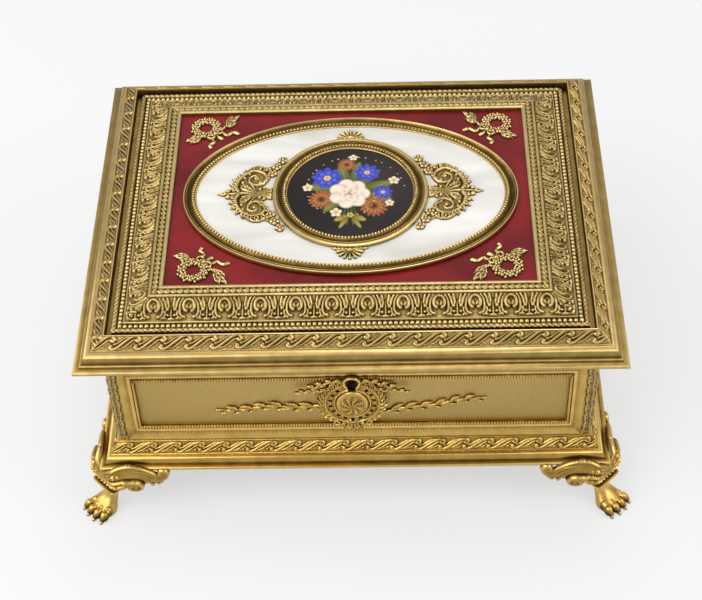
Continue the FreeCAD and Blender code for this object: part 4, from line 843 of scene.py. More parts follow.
# leg: superellipse sections on a smooth line of centres, closed by a fan at each end
def legShell():
    levels = curve(legLevels, paw["levels"])
    turn = np.linspace(0, 2 * np.pi, paw["around"], endpoint=False)[None]
    z, middle, long, broad, power = (levels[:, k:k + 1] for k in range(5))
    c, s = np.cos(turn), np.sin(turn)
    size = (np.abs(c) ** power + np.abs(s) ** power) ** (-1 / power)
    d, e = long * c * size + middle, broad * s * size
    flutes = np.cos(2 * np.pi * e / paw["flute"]) * np.exp(-(((z - paw["crown"]) / 0.8) ** 2))
    d = d + paw["fluteDeep"] * flutes * (c > 0)
    # painted light: a highlight on the smooth ankle and on the collar, painted shade in the neck above it and
    # in the flutes
    tone = 0.60 + 0.22 * np.clip((z - 7) / 4, 0, 1) * np.clip((17.0 - z) / 1.5, 0, 1) + 0 * d
    collarHighlight, neckShade = (np.exp(-(((z - paw[key]) / 0.5) ** 2)) for key in ("collar", "neck"))
    tone = tone + 0.30 * collarHighlight - 0.5 * neckShade + 0.3 * (flutes - 0.6 * np.abs(flutes))
    points = offDiagonal(d, e, z + 0 * d)
    n = paw["around"]
    ends = np.array([points[0].mean(0), points[-1].mean(0)])
    faces = gridFaces(len(levels), n, wrapColumns=True)
    ring = np.arange(n)
    last = (len(levels) - 1) * n
    base = len(levels) * n
    after = np.roll(ring, -1)
    caps = [np.stack([after, ring, 0 * ring + base], 1),
            np.stack([last + ring, last + after, 0 * ring + base + 1], 1)]
    tone = np.append(np.clip(tone, 0, 1).ravel(), [0.2, 0.2])
    return np.vstack([points.reshape(-1, 3), ends]), [faces] + caps, tone


# toes and claws: blunt ellipsoids bent downwards towards their tips and flat on the table
def toeShells():
    rows, around = paw["toeGrid"]
    points, faces, tone, count = [], [], [], 0
    v, u = np.meshgrid(np.linspace(0, np.pi, rows), np.linspace(0, 2 * np.pi, around, endpoint=False),
                       indexing="ij")
    for e0, d0, lean in paw["toes"]:
        c, s = heading(math.radians(lean))
        blobs = (paw["toe"], 0.0, paw["toeLift"], 0.0), (paw["claw"], paw["clawAhead"], paw["clawLift"], 0.35)
        for (long, broad, tall), ahead, lift, shine in blobs:
            across = np.sin(v) ** (paw["blunt"] if ahead == 0 else 1.0)
            x, y, z = long * np.cos(v), broad * across * np.cos(u), tall * across * np.sin(u)
            knuckle = 1 + (0.10 * np.cos(1.3 * (x - 3.4)) if ahead == 0 else 0)
            y, z = y * knuckle, z * knuckle + lift - paw["droop"] * np.clip(x + ahead, 0, None) ** 2
            x = x + ahead
            d, e = d0 + x * c - y * s, e0 + x * s + y * c
            points.append(offDiagonal(d, e, np.clip(z, 0.02, None)).reshape(-1, 3))
            # painted light: toe tops lighter and their sides darker, claws brighter as painted highlights
            patinaAndPaintedLight = 0.34 + shine + 0.42 * np.clip((z - lift) / tall, 0, 1) - 0.30 * np.abs(np.cos(u)) ** 3
            tone.append(np.clip(patinaAndPaintedLight, 0, 1).ravel())
            faces.append(gridFaces(rows, around, wrapColumns=True)[:, ::-1] + count)
            count += rows * around
    return np.vstack(points), [np.vstack(faces)], np.concatenate(tone)


# sheet of metal inside an outline: full height in the middle, thinner in the last millimetres before its edge
def sheet(board, outline, height, soft=2.5):
    line = fine(np.vstack([outline, outline[:1]]), 0.3)
    x, y = board["x"], board["y"]
    away = np.sqrt(((x[..., None] - line[:, 0]) ** 2 + (y[..., None] - line[:, 1]) ** 2).min(-1))
    a, b = line[:-1], line[1:]
    cross = (a[:, 1] > y[..., None]) != (b[:, 1] > y[..., None])
    rise = np.where(b[:, 1] == a[:, 1], 1e-9, b[:, 1] - a[:, 1])
    reach = a[:, 0] + (y[..., None] - a[:, 1]) * (b[:, 0] - a[:, 0]) / rise
    inside = (cross & (x[..., None] < reach)).sum(-1) % 2 == 1
    thick = height * (0.55 + 0.45 * np.sqrt(np.clip(away / soft, 0, 1)))
    stamp(board, (slice(None), slice(None)), inside * thick, np.where(inside, away, -away))


# wing: a broad arched leaf with a rolled leaf before it, drawn flat along the plinth (way from the corner,
# height) and bent outwards
wing = {"board": (-9.0, 39.0, 9.5, 31.4), "cell": 0.33, "belly": 4.6, "seat": -2.2, "foot": 8.0, "tall": 26.0,
        "raise": 5.8, "recess": 2.6}


# arched sheet with ribs, folded sheet with its roll, a small leaf and the hooked tip
def wingBoard():
    board = newBoard(*wing["board"], wing["cell"])
    crest = curve([(-6.0, 18.0), (-1.0, 21.4), (4.0, 25.8), (10.0, 29.2), (16.5, 29.9), (23.0, 28.2),
                   (28.5, 24.8), (33.0, 20.4)], 80)
    teeth = np.array([(33.8, 17.0), (31.6, 17.8), (31.0, 15.4), (28.8, 16.8), (27.4, 14.4), (25.4, 16.2),
                      (22.0, 16.0), (10.0, 16.0), (-6.0, 16.4)])
    sheet(board, np.vstack([crest, teeth]), 2.4, soft=6.0)
    rib(board, crest, (0.6, 0.8), 1.2, 1.2)
    for line in ([(20.0, 25.4), (26.0, 22.6), (31.2, 16.4)], [(22.0, 22.4), (25.6, 19.6), (27.8, 15.4)],
                 [(18.0, 27.6), (26.0, 25.2), (33.0, 18.0)]):
        rib(board, curve(line, 40), (0.35, 0.9), 1.0, 1.9)
    fold = curve([(-6.0, 17.2), (0.0, 18.4), (6.0, 20.8), (12.0, 22.0), (17.0, 21.6), (21.6, 19.4),
                  (23.4, 16.0), (22.0, 12.8), (18.6, 11.4), (15.2, 12.2), (13.2, 14.2), (9.0, 14.2),
                  (4.0, 15.4), (-6.0, 16.6)], 90)
    sheet(board, fold, 4.0, soft=4.5)
    rib(board, curve([(-6.0, 17.2), (0.0, 18.4), (6.0, 20.7), (12.0, 21.9), (17.0, 21.5)], 60), (0.7, 0.9),
        1.0, 3.4)
    roll = np.vstack([curve([(13.0, 21.4), (17.0, 21.0)], 10)[:-1],
                      spiral(18.2, 16.6, 4.5, 0.8, 100, -540, 100)])
    rib(board, roll, (1.5, 0.9), 1.5, 3.6)
    bump(board, 18.2, 16.6, 1.1, 1.1, 4.6)
    for line in ([(2.0, 17.2), (7.0, 18.4), (13.0, 18.6)], [(3.0, 16.2), (7.5, 16.4), (12.5, 16.2)]):
        rib(board, curve(line, 40), (0.3, 0.6), 0.8, 3.9)
    for x, y in ((3.0, 15.6), (6.4, 14.6), (9.8, 14.0)):
        bump(board, x, y, 1.9, 1.4, 3.2)
    leaf(board, curve([(1.0, 20.4), (3.6, 23.0), (8.0, 24.8), (12.6, 25.0)], 40), 1.5, 3.4, veins=4)
    hook = np.vstack([curve([(28.0, 20.8), (31.4, 19.4), (34.6, 20.8), (36.0, 23.6)], 30)[:-1],
                      spiral(33.7, 23.8, 2.3, 0.6, 0, 420, 50)])
    rib(board, hook, (1.9, 1.2), 2.0, 1.0)
    board["h"] *= np.clip((board["x"] + 4.0) / 11.0, 0.25, 1)  # the casting thins out behind the collar
    return board


# the belly: a sine of the height, growing away from the corner and dying out at the tip
def wingPlace(s, z, h):
    fade = np.clip((s + 6.0) / 12.0, 0.3, 1) * np.clip(1.2 - np.clip(s, 0, None) / 44.0, 0.3, 1)
    swell = np.sin(np.pi * np.clip((z - wing["foot"]) / wing["tall"], 0, 1))
    out = wing["seat"] + wing["belly"] * swell * fade + h
    out = out - wing["recess"] * np.clip((6.0 - s) / 9.0, 0, 1)  # behind the collar
    return np.stack([-s, out, z + wing["raise"]], -1)


board = wingBoard()  # cut where the two wings of a foot meet
mitre = board["x"] + wingPlace(board["x"], board["y"], board["h"])[..., 1] + 0.3
cutAway(board, mitre)
points, faces, tone = boardShell(board, wingPlace, scale=2.2)
leg, toes, oneWing = legShell(), toeShells(), (points, [faces], tone)
for name, sx, sy in corners:
    points, threes, fours, tone, count = [], [], [], [], 0
    for (shape, parts, patinaAndPaintedLight), swapped in ((leg, False), (toes, False), (oneWing, False), (oneWing, True)):
        a, b, z = shape.T
        if swapped:
            a, b = b, a
        points.append(np.stack([sx * (paw["corner"][0] + a), sy * (paw["corner"][1] + b), z], 1))
        flip = (sx * sy < 0) != swapped
        for part in parts:
            (fours if part.shape[1] == 4 else threes).append((part[:, ::-1] if flip else part) + count)
        tone.append(patinaAndPaintedLight)
        count += len(shape)
    putPiece(f"paw_foot_{name}", np.vstack(points), [np.vstack(threes), np.vstack(fours)], finishes["cast"],
             "case", (f"foot_{name}",), np.concatenate(tone))
print("feet done")


# reliefs laid on the lid: local x and y on its top, height upwards; sx and sy mirror them to other corners
def onLid(cx, cy, base, turn=0.0, sx=1, sy=1):
    c, s = heading(math.radians(turn))
    return lambda x, y, h: np.stack([cx + sx * (x * c - y * s), cy + sy * (x * s + y * c), base + h], -1)


# rosette: five round petals about a small knob
def rosette(board, x, y, size, height):
    bump(board, x, y, 0.95 * size, 0.95 * size, 0.5 * height)
    for a in 2 * np.pi * (np.arange(5) + 0.25) / 5:
        bump(board, *((x, y) + 0.6 * size * heading(a)), 0.45 * size, 0.45 * size, 0.85 * height)
    bump(board, x, y, 0.36 * size, 0.36 * size, height)


# scroll mount beside the roundel: C scrolls, a fan between them, rosettes along the ring and a trefoil finial
scroll = {"reach": (35.0, 72.0, 31.0), "ring": 42.1, "fan": 7, "rosettes": (20.5, 27.8, 35.2),
          "rosetteRing": 45.2, "heart": (52.0, 8.0), "cell": 0.28,
          "back": ((64.6, 0.0), (62.8, 5.0), (61.6, 9.6), (58.8, 14.2), (54.8, 17.6), (50.2, 19.4),
                   (45.4, 20.4), (41.4, 22.6), (37.6, 26.0), (37.0, 23.6), (40.6, 18.6), (44.2, 14.8),
                   (45.4, 10.0), (47.6, 6.2), (45.6, 4.2), (42.4, 4.4))}
x0, x1, y1 = scroll["reach"]
board = newBoard(x0, x1, -y1, y1, scroll["cell"])
half = np.array(scroll["back"])
sheet(board, np.vstack([half, half[:0:-1] * (1, -1)]), 0.75, soft=1.0)
for s in (-1, 1):
    side = np.array((1, s))
    arm = curve([(60.4, 1.4), (61.6, 5.0), (60.2, 10.4), (56.6, 15.2), (51.6, 17.4), (46.9, 15.4),
                 (45.4, 11.2), (47.2, 7.4), (51.0, 6.4), (54.3, 8.6), (54.5, 12.0), (51.8, 13.7),
                 (49.9, 11.8), (51.2, 10.6)], 150) * side
    rib(board, arm, (1.25, 0.75), 1.9, 0.2)
    bump(board, 51.3, s * 11.2, 1.1, 1.1, 2.2)
    for x, y in ((62.4, 3.0), (62.8, 6.4), (61.8, 9.9), (59.8, 13.2), (57.0, 16.2), (53.6, 18.4),
                 (49.8, 19.4), (46.2, 18.6)):
        root = np.array((x, y))
        away = (root - scroll["heart"]) / np.linalg.norm(root - scroll["heart"])
        lean = np.array((-away[1], away[0]))
        blade = [root - 1.6 * away, root + 0.6 * away + 0.4 * lean, root + 2.2 * away + 1.3 * lean]
        leaf(board, curve(blade, 30) * side, 1.6, 2.0, veins=2)
    for x, y in ((58.2, 8.6), (57.4, 12.2), (54.8, 15.2), (47.6, 16.6), (43.9, 18.6), (41.9, 21.0),
                 (46.2, 4.2), (48.6, 3.0), (44.6, 13.6)):
        bump(board, x, s * y, 1.0, 1.0, 1.8)
    for line, count, broad, tall, veins in (
            ([(53.4, 3.0), (56.8, 5.8), (58.8, 10.0)], 30, 1.3, 1.7, 3),
            ([(49.6, 7.2), (46.2, 9.4), (44.2, 13.4), (44.6, 17.4)], 30, 1.3, 1.8, 4),
            ([(56.5, 16.6), (51.0, 20.0), (46.4, 19.4), (43.2, 16.6)], 40, 1.7, 1.5, 5)):
        leaf(board, curve(line, count) * side, broad, tall, veins=veins)
    rib(board, spiral(57.4, s * 5.4, 2.1, 0.5, s * 200, s * 420, 40), (0.7, 0.5), 1.6)
    for angle in np.radians(scroll["rosettes"]):
        rosette(board, *(scroll["rosetteRing"] * heading(angle) * side), 2.9, 2.0)
    rib(board, spiral(0, 0, 44.8, 44.8, s * 18, s * 17, 20), 1.0, 0.8)
    for k in (0.25, 0.62, 1.0):
        rib(board, curve([(42.6, s * 3.9 * k), (45.6, s * 2.3 * k), (50.6, s * 1.3 * k)], 24), (0.75, 0.45),
            1.4, 0.2)
for angle in np.radians(np.linspace(-66, 66, scroll["fan"])):
    ray = heading(angle)
    rib(board, np.array((50.2, 0)) + np.linspace(0.6, 7.6, 24)[:, None] * ray, (0.45, 0.95), 1.6, 0.2)
    bump(board, 50.2 + 8.0 * ray[0], 8.0 * ray[1], 1.0, 1.0, 1.9)
bump(board, 54.0, 0, 7.4, 7.4, 0.6)
rib(board, [(x, 0) for x in np.linspace(58.5, 65.6, 20)], (1.2, 0.8), 1.7, 0.2)
for x, y, size in ((65.8, 2.2, 1.5), (65.8, -2.2, 1.5), (67.2, 0.0, 1.2)):
    bump(board, x, y, size, size, 1.8)
leaf(board, [(x, 0) for x in np.linspace(66.4, 71.4, 24)], 1.4, 1.5)
cutAway(board, np.hypot(board["x"], board["y"]) - scroll["ring"])
top = nodeBox("pearl_plaque")[1][2]
for name, turn in (("right", 0.0), ("left", 180.0)):
    putRelief(f"scroll_relief_{name}", board, onLid(0, 0, top, turn), "relief", "lid",
              (f"scroll_mount_{name}",), 0.9)

# leaf clasps: a shell of seven ribs between two side leaves
clasp = {"board": (-11, 11, 40.0, 52.0), "ring": 42.1, "foot": 43.0, "ribs": 7, "long": 6.6, "cell": 0.24}
board = newBoard(*clasp["board"], clasp["cell"])
for angle in np.radians(np.linspace(15, 165, clasp["ribs"])):
    ray = np.array((math.cos(angle), math.sin(angle) * 0.95))
    rib(board, np.array((0, clasp["foot"])) + np.linspace(0.4, clasp["long"], 24)[:, None] * ray,
        (0.4, 0.95), 1.5, 0.2)
    bump(board, clasp["long"] * ray[0], clasp["foot"] + clasp["long"] * ray[1], 0.95, 0.95, 1.8)
for s in (-1, 1):
    leaf(board, curve([(s * 1.0, 43.4), (s * 5.0, 43.0), (s * 9.6, 41.9)], 30), 1.3, 1.5, veins=4)
bump(board, 0, 43.6, 2.0, 1.5, 2.1)
cutAway(board, np.hypot(board["x"], board["y"]) - clasp["ring"])
for name, turn in (("back", 0.0), ("front", 180.0)):
    putRelief(f"clasp_relief_{name}", board, onLid(0, 0, top, turn), "relief", "lid",
              (f"leaf_clasp_{name}",))

# corner mounts: wreath of rosettes, bow towards the middle, two leafy sprays and ribbon tails
wreath = {"centre": (81.1, 55.1), "radius": 6.1, "rosettes": 9, "bow": (-5.4, -5.4),
          "board": (-27, 17, -22, 20), "cell": 0.28}
bow = np.array(wreath["bow"])
board = newBoard(*wreath["board"], wreath["cell"])
for k in range(wreath["rosettes"]):
    a, b = 2 * np.pi * k / wreath["rosettes"], 2 * np.pi * (k + 0.5) / wreath["rosettes"]
    rosette(board, *(wreath["radius"] * heading(a)), 2.45, 2.5)
    for r, size in ((8.1, 0.95), (4.1, 0.75)):
        bump(board, *(r * heading(b)), size, size, 1.5)
rib(board, spiral(0, 0, wreath["radius"], wreath["radius"], 0, 360, 60), 1.2, 0.8)
for side in (-1, 1):
    middle = bow + side * np.array((2.0, -2.0))
    rib(board, spiral(*middle, 1.9, 1.9, 0, 360, 40), 0.62, 1.6, 0.3)
bump(board, *bow, 1.4, 1.4, 2.5)
for tail in ([(0, 0), (-3.6, 1.2), (-6.6, -0.6), (-9.8, 1.4), (-12.6, 0.6)],
             [(0, 0), (1.4, -3.4), (0.2, -6.2), (2.6, -8.8), (1.9, -10.4)],
             [(0, 0), (-1.9, -2.2), (-3.8, -3.4)]):
    path = curve(np.array(tail) + bow, 40)
    rib(board, path, (0.7, 1.25), 1.4)
    rib(board, path, 0.3, 1.8)
for angle, long in ((130, 20.5), (-17, 17.5)):
    ray = heading(math.radians(angle))
    rib(board, bow + np.linspace(0, 0.6 * long, 30)[:, None] * ray, (1.1, 0.6), 1.5, 0.2)
    for start, share, lean, broad in ((0.36, 0.42, 17, 1.3), (0.50, 0.50, -2, 1.7), (0.46, 0.44, -19, 1.5)):
        turn = math.radians(angle + lean)
        bend = math.radians(angle + 1.5 * lean)
        root = bow + start * long * ray
        path = [root, root + 0.5 * share * long * heading(bend), root + share * long * heading(turn)]
        leaf(board, curve(path, 40), broad, 1.8, veins=3, belly=0.8)
top = nodeBox("enamel_panel")[1][2]
cx, cy = wreath["centre"]
for name, sx, sy in corners:
    putRelief(f"wreath_relief_{name}", board, onLid(sx * cx, sy * cy, top, 0, sx, sy), "relief", "lid",
              (f"corner_mount_{name}",), 0.8, sx * sy < 0)
print("lid mounts done")

# painted roundel: a bouquet in cobalt, ivory, auburn and olive on a near black ground
roundel = {"sight": 33.9, "seat": 34.9, "edge": 1.0, "dome": 1.2, "rings": 92, "around": 420}
low, high = nodeBox("enamel_roundel")
radius = np.linspace(roundel["sight"], 0, roundel["rings"])
dome = roundel["edge"] + roundel["dome"] * (1 - (radius / roundel["sight"]) ** 2)
profile = np.vstack([[(0, 0.02), (roundel["seat"], 0.02), (roundel["seat"], roundel["edge"] - 0.05)],
                     np.stack([radius, dome], 1)])
turn = np.linspace(0, 2 * np.pi, roundel["around"], endpoint=False)
out, up = profile[:, :1], low[2] + profile[:, 1:]
points = np.stack([out * np.cos(turn), out * np.sin(turn), up + 0 * turn], -1).reshape(-1, 3)
px, py = points[:, 0], points[:, 1]
paint = np.array((0.010, 0.0065, 0.006)) + np.outer(np.exp(-((px - 16) ** 2 + (py - 4) ** 2) / 500),
                                                    (0.020, 0.014, 0.012))


# brush: an ellipse from its root to its tip, the root colour running into the tip colour, darker at its rim
def brush(cx, cy, long, broad, angle, root, tip, firm=0.35):
    c, s = heading(math.radians(angle))
    u = ((px - cx) * c + (py - cy) * s) / long
    v = ((py - cy) * c - (px - cx) * s) / broad
    inside = 1 - (2 * u - 1) ** 2 - v**2
    cover = np.clip(inside / firm, 0, 1)[:, None]
    share = np.clip(u, 0, 1)[:, None] ** 1.3
    dim = 0.62 + 0.38 * np.clip(inside, 0, 1)[:, None] ** 0.7
    colour = (np.array(root) * (1 - share) + np.array(tip) * share) * dim
    paint[:] = paint * (1 - cover) + colour * cover


# flower: strokes set evenly about its middle
def flower(cx, cy, size, petals, broad, root, tip, start=0.0):
    for k in range(petals):
        brush(cx, cy, size, broad, start + 360 * k / petals, root, tip)


olive, leafLight = (0.022, 0.030, 0.006), (0.190, 0.205, 0.040)  # leaves with a pale midrib
for angle, long, broad in ((18, 25, 3.6), (48, 24, 3.2), (78, 25, 3.0), (105, 23, 3.4), (140, 25, 3.4),
                           (168, 25, 3.6), (198, 23, 3.8), (226, 21, 3.4), (318, 21, 3.4), (345, 24, 3.6)):
    brush(0, -1, long, broad, angle, olive, leafLight)
    brush(0, -1, long * 0.94, 0.28, angle, olive, (0.36, 0.36, 0.10))
for x in (-4.5, -1.6, 1.4, 4.2):  # stalks
    brush(x * 0.3, -10, 17, 0.55, 270 + x * 3.2, (0.05, 0.06, 0.012), (0.13, 0.14, 0.03))
cobalt, skyBlue = (0.012, 0.010, 0.120), (0.060, 0.080, 0.560)  # blue flowers
for x, y, size in ((-12.5, 10.0, 9.0), (9.0, 14.0, 7.4), (17.5, -1.5, 5.6)):
    flower(x, y, size, 9, size * 0.27, cobalt, skyBlue, 10)
    flower(x, y, size * 0.62, 7, size * 0.20, cobalt, (0.12, 0.15, 0.75), 28)
    flower(x, y, size * 0.24, 6, size * 0.10, (0.45, 0.28, 0.05), (0.80, 0.62, 0.22))
auburn, copper = (0.070, 0.016, 0.005), (0.400, 0.130, 0.036)  # daisies
for x, y, size in ((12.5, -12.0, 8.2), (-15.5, -6.5, 7.4), (-2.0, 20.5, 5.4)):
    flower(x, y, size, 16, size * 0.15, auburn, copper)
    flower(x, y, size * 0.66, 12, size * 0.12, auburn, (0.52, 0.22, 0.07), 12)
    flower(x, y, size * 0.28, 7, size * 0.10, (0.030, 0.010, 0.004), (0.16, 0.06, 0.02))
ivory, cream = (0.330, 0.190, 0.110), (0.860, 0.770, 0.640)  # the rose, from its outer petals inwards
for size, petals, broad, start in ((11.6, 7, 5.2, 0), (9.2, 6, 4.6, 26), (6.8, 5, 3.8, 8),
                                   (4.6, 5, 2.7, 40), (2.6, 3, 1.7, 20)):
    flower(-0.5, -2.5, size, petals, broad, ivory, cream, start)
# small white flowers
for x, y, size in ((23.5, 8.0, 3.2), (-23.0, 3.0, 3.0), (1.5, 26.5, 2.6), (-7.5, -16.5, 3.4),
                   (21.0, -9.5, 2.6)):
    flower(x, y, size, 5, size * 0.42, (0.50, 0.36, 0.22), (0.84, 0.76, 0.62), 18)
    flower(x, y, size * 0.35, 5, size * 0.16, (0.40, 0.24, 0.03), (0.62, 0.46, 0.10))
for angle, long in ((205, 9.5), (335, 9.5), (238, 11.5), (302, 11.5)):  # ribbon
    brush(0, -18.5, long, 2.0 if long < 10 else 1.2, angle, (0.10, 0.065, 0.010), (0.42, 0.33, 0.06))
flower(0, -18.5, 1.9, 5, 1.0, (0.25, 0.18, 0.03), (0.60, 0.48, 0.12))
for k in range(34):  # gold specks, scattered by the golden angle
    a, r = math.radians(137.5 * k), 9 + 20.5 * math.sqrt((k * 0.618) % 1)
    brush(r * math.cos(a) - 0.4, r * math.sin(a), 0.8, 0.38, 0, (0.62, 0.50, 0.20), (0.70, 0.58, 0.26))
faces = gridFaces(len(profile), roundel["around"], wrapColumns=True)
paint = np.concatenate([np.clip(paint, 0, 1), np.ones((len(paint), 1))], 1)
putPiece("painted_roundel", points, [faces], finishes["painted"], "lid",
         ("enamel_roundel",), paint=paint)
print("roundel painted")


# reliefs that stand on the front: local x along it, y upwards, height towards -Y
def onFront(face):
    return lambda x, z, h: np.stack([x, face - h, z], -1)


# escutcheon: pierced oval band, leafy wreath, sprays and twigs from the keyhole, crossed leaves below
shield = {"centre": 75.0, "half": (14.6, 15.8), "holes": 18, "holeRing": (11.6, 12.8), "holeSize": 0.92,
          "keyhole": (91.0, 3.2, 1.7, 6.4), "board": (-31, 31, 48, 100), "cell": 0.28}
wallFace = nodeBox("wall_front")[0][1]
board = newBoard(*shield["board"], shield["cell"])
bx, bz = board["x"], board["y"] - shield["centre"]
oval = np.hypot(bx / shield["half"][0], bz / shield["half"][1])
stamp(board, (slice(None), slice(None)), (oval < 1) * 1.0, shield["half"][0] * (1 - oval))
around = np.radians(np.linspace(0, 360, 120))
for rx, rz, thick, height in ((14.1, 15.3, 0.85, 1.9), (9.5, 10.9, 0.75, 1.8)):
    rib(board, np.stack([rx * np.cos(around), shield["centre"] + rz * np.sin(around)], 1), thick, height)
for s in (-1, 1):
    for angle in np.radians(np.arange(-58, 66, 11)):
        root = np.array((s * 14.2 * math.cos(angle), shield["centre"] + 15.2 * math.sin(angle)))
        lean = angle + math.radians(52)
        tip = root + 5.6 * np.array((s * math.cos(lean), math.sin(lean)))
        leaf(board, curve([root, 0.5 * (root + tip) + (s * 0.7, 0), tip], 24), 1.35, 1.9, veins=2, belly=0.8)
        bump(board, *(root + (s * 1.6, -0.4)), 0.7, 0.7, 1.9)
    spray = curve([(3.4, 91.0), (8.0, 92.2), (13.0, 91.2), (18.0, 88.6), (21.0, 87.6)], 60) * (s, 1)
    rib(board, spray, (0.8, 0.5), 1.4, 0.3)
    for k, lift in ((8, 1), (16, -1), (22, 1), (30, -1), (36, 1), (44, -1), (50, 1)):
        tip = spray[k] + (s * 3.6, lift * 1.9 - 0.6)
        leaf(board, curve([spray[k], 0.5 * (spray[k] + tip) + (0, lift * 0.5), tip], 20), 1.05, 1.9,
             belly=0.8)
    for k in (12, 26, 40):
        rosette(board, *(spray[k] + (0, 0.9)), 1.5, 2.2)
    twig = curve([(s * 11.5, 86.2), (s * 17.0, 84.8), (s * 23.0, 84.6), (s * 30.0, 83.6)], 60)
    rib(board, twig, (0.75, 0.4), 1.2, 0.3)
    for k in range(8, 54, 6):
        tip = twig[k] + (s * 3.0, (1.4 if k % 12 == 8 else -1.4))
        leaf(board, curve([twig[k], 0.5 * (twig[k] + tip), tip], 20), 0.85, 1.6, belly=0.8)
    for angle, long in ((-62, 9.6), (-34, 11.0)):
        turn = math.radians(-90 - s * angle)
        root = np.array((-s * 1.2, 61.2))
        leaf(board, curve([root, root + 0.5 * long * heading(turn) + (0, 0.8),
                           root + long * heading(turn)], 30), 1.5, 1.9, veins=3)
    rib(board, spiral(s * 8.2, 58.6, 2.0, 0.5, 90, s * -420, 40), (0.75, 0.5), 1.7)
leaf(board, [(0, z) for z in np.linspace(61.0, 49.6, 30)], 1.5, 2.1, veins=4)
bump(board, 0, 60.6, 1.7, 1.4, 2.4)
z0, wide, slot, drop = shield["keyhole"]
rib(board, spiral(0, z0, 4.2, 4.2, -50, 280, 60), 0.9, 1.7, 0.3)
kz = board["y"] - z0
shaft = np.maximum(np.abs(bx) - slot - 0.14 * np.clip(kz + drop, 0, 9), np.abs(kz + drop / 2) - drop / 2)
key = np.minimum(np.hypot(bx, kz) - wide, shaft)
cutAway(board, key)
for angle in 2 * np.pi * (np.arange(shield["holes"]) + 0.5) / shield["holes"]:
    if abs(math.degrees(angle) - 90) > 24:
        c, s = heading(angle)
        x, z = bx - shield["holeRing"][0] * c, bz - shield["holeRing"][1] * s
        hole = np.maximum(np.abs(x * c + z * s), np.abs(z * c - x * s)) - shield["holeSize"]
        cutAway(board, hole)
putRelief("escutcheon_relief", board, onFront(wallFace), "cast", "case", ("escutcheon",))

# boss: an oval dome chased with a turning flower inside a plain rim
boss = {"half": (8.4, 10.0), "lift": 1.6, "height": 2.3, "petals": 8, "board": (-9, 9, 64, 86), "cell": 0.22}
board = newBoard(*boss["board"], boss["cell"])
bump(board, 0, shield["centre"], *boss["half"], boss["height"], lift=boss["lift"])
x, z = board["x"] / boss["half"][0], (board["y"] - shield["centre"]) / boss["half"][1]
r, a = np.hypot(x, z), np.arctan2(z, x)
turning = 0.30 * np.cos(boss["petals"] * a + 5 * r) * np.clip((0.8 - r) / 0.15, 0, 1) * np.clip(r / 0.2, 0, 1)
chasing = (turning + 0.14 * np.cos(40 * r)) * np.clip((0.9 - r) / 0.1, 0, 1)
board["h"] = np.where(board["e"] > 0, board["h"] + chasing, 0)
putRelief("boss_relief", board, onFront(wallFace), "cast", "case", ("escutcheon_boss",), 0.9)

# sprigs on the front panel: a wavy stem with long narrow leaves on either side
sprig = {"left": ((-14.0, 70.8), (-28.0, 69.0), (-44.0, 70.2), (-58.0, 67.6), (-72.0, 67.2)),
         "right": ((14.0, 63.4), (27.0, 67.4), (42.0, 69.4), (56.0, 73.4), (70.0, 74.8)), "leaves": 13,
         "long": 8.6, "reach": (13, 76), "rise": (58, 82), "cell": 0.26}
panelFace = nodeBox("panel_front")[0][1]
for name, s in (("left", -1), ("right", 1)):
    near, far = sorted(s * x for x in sprig["reach"])
    board = newBoard(near, far, *sprig["rise"], sprig["cell"])
    stem = curve(sprig[name], 120)
    rib(board, stem, (1.0, 0.55), 1.4, 0.2)
    for k in range(sprig["leaves"]):
        at = 6 + int(104 * k / sprig["leaves"])
        way = stem[at + 6] - stem[at]
        turn = math.atan2(way[1], way[0]) + s * (0.36 if k % 2 else -0.36)
        long = sprig["long"] * (1 - 0.25 * k / sprig["leaves"])
        tip = stem[at] + long * heading(turn)
        leaf(board, curve([stem[at], 0.5 * (stem[at] + tip) + (0, 0.5 if k % 2 else -0.5), tip], 30), 1.25,
             1.7, belly=0.75)
    putRelief(f"sprig_relief_{name}", board, onFront(panelFace), "cast", "case", (f"sprig_{name}",))
print("front mounts done")

# wall trim over the bevel of each wall: plain band, dotted row, bright band, bead row; rails are broader than
# stiles, so the profile's inset is stretched by its share of ten millimetres on each
trim = {"rail": 1.14, "stile": 0.91, "dots": 2.0, "dotBand": 1.5, "beads": 1.5, "beadBand": 1.7,
        "beadHigh": 0.75, "slim": 0.85, "low": 44.9, "high": 103.0, "keyFoot": 10, "keyTop": 20.5,
        "keyHalf": 4.6, "step": 0.38}


# dots: hollows, so the height is what is left of a flat
def drawDots(board, shift):
    x, y = board["x"] - shift - trim["dots"] / 2, board["y"]
    inside = (np.abs(x) < 0.62 * (y - 0.25)) & (y > 0.25) & (y < 1.25)
    board["h"][:] = np.where(inside, -0.55, board["h"])


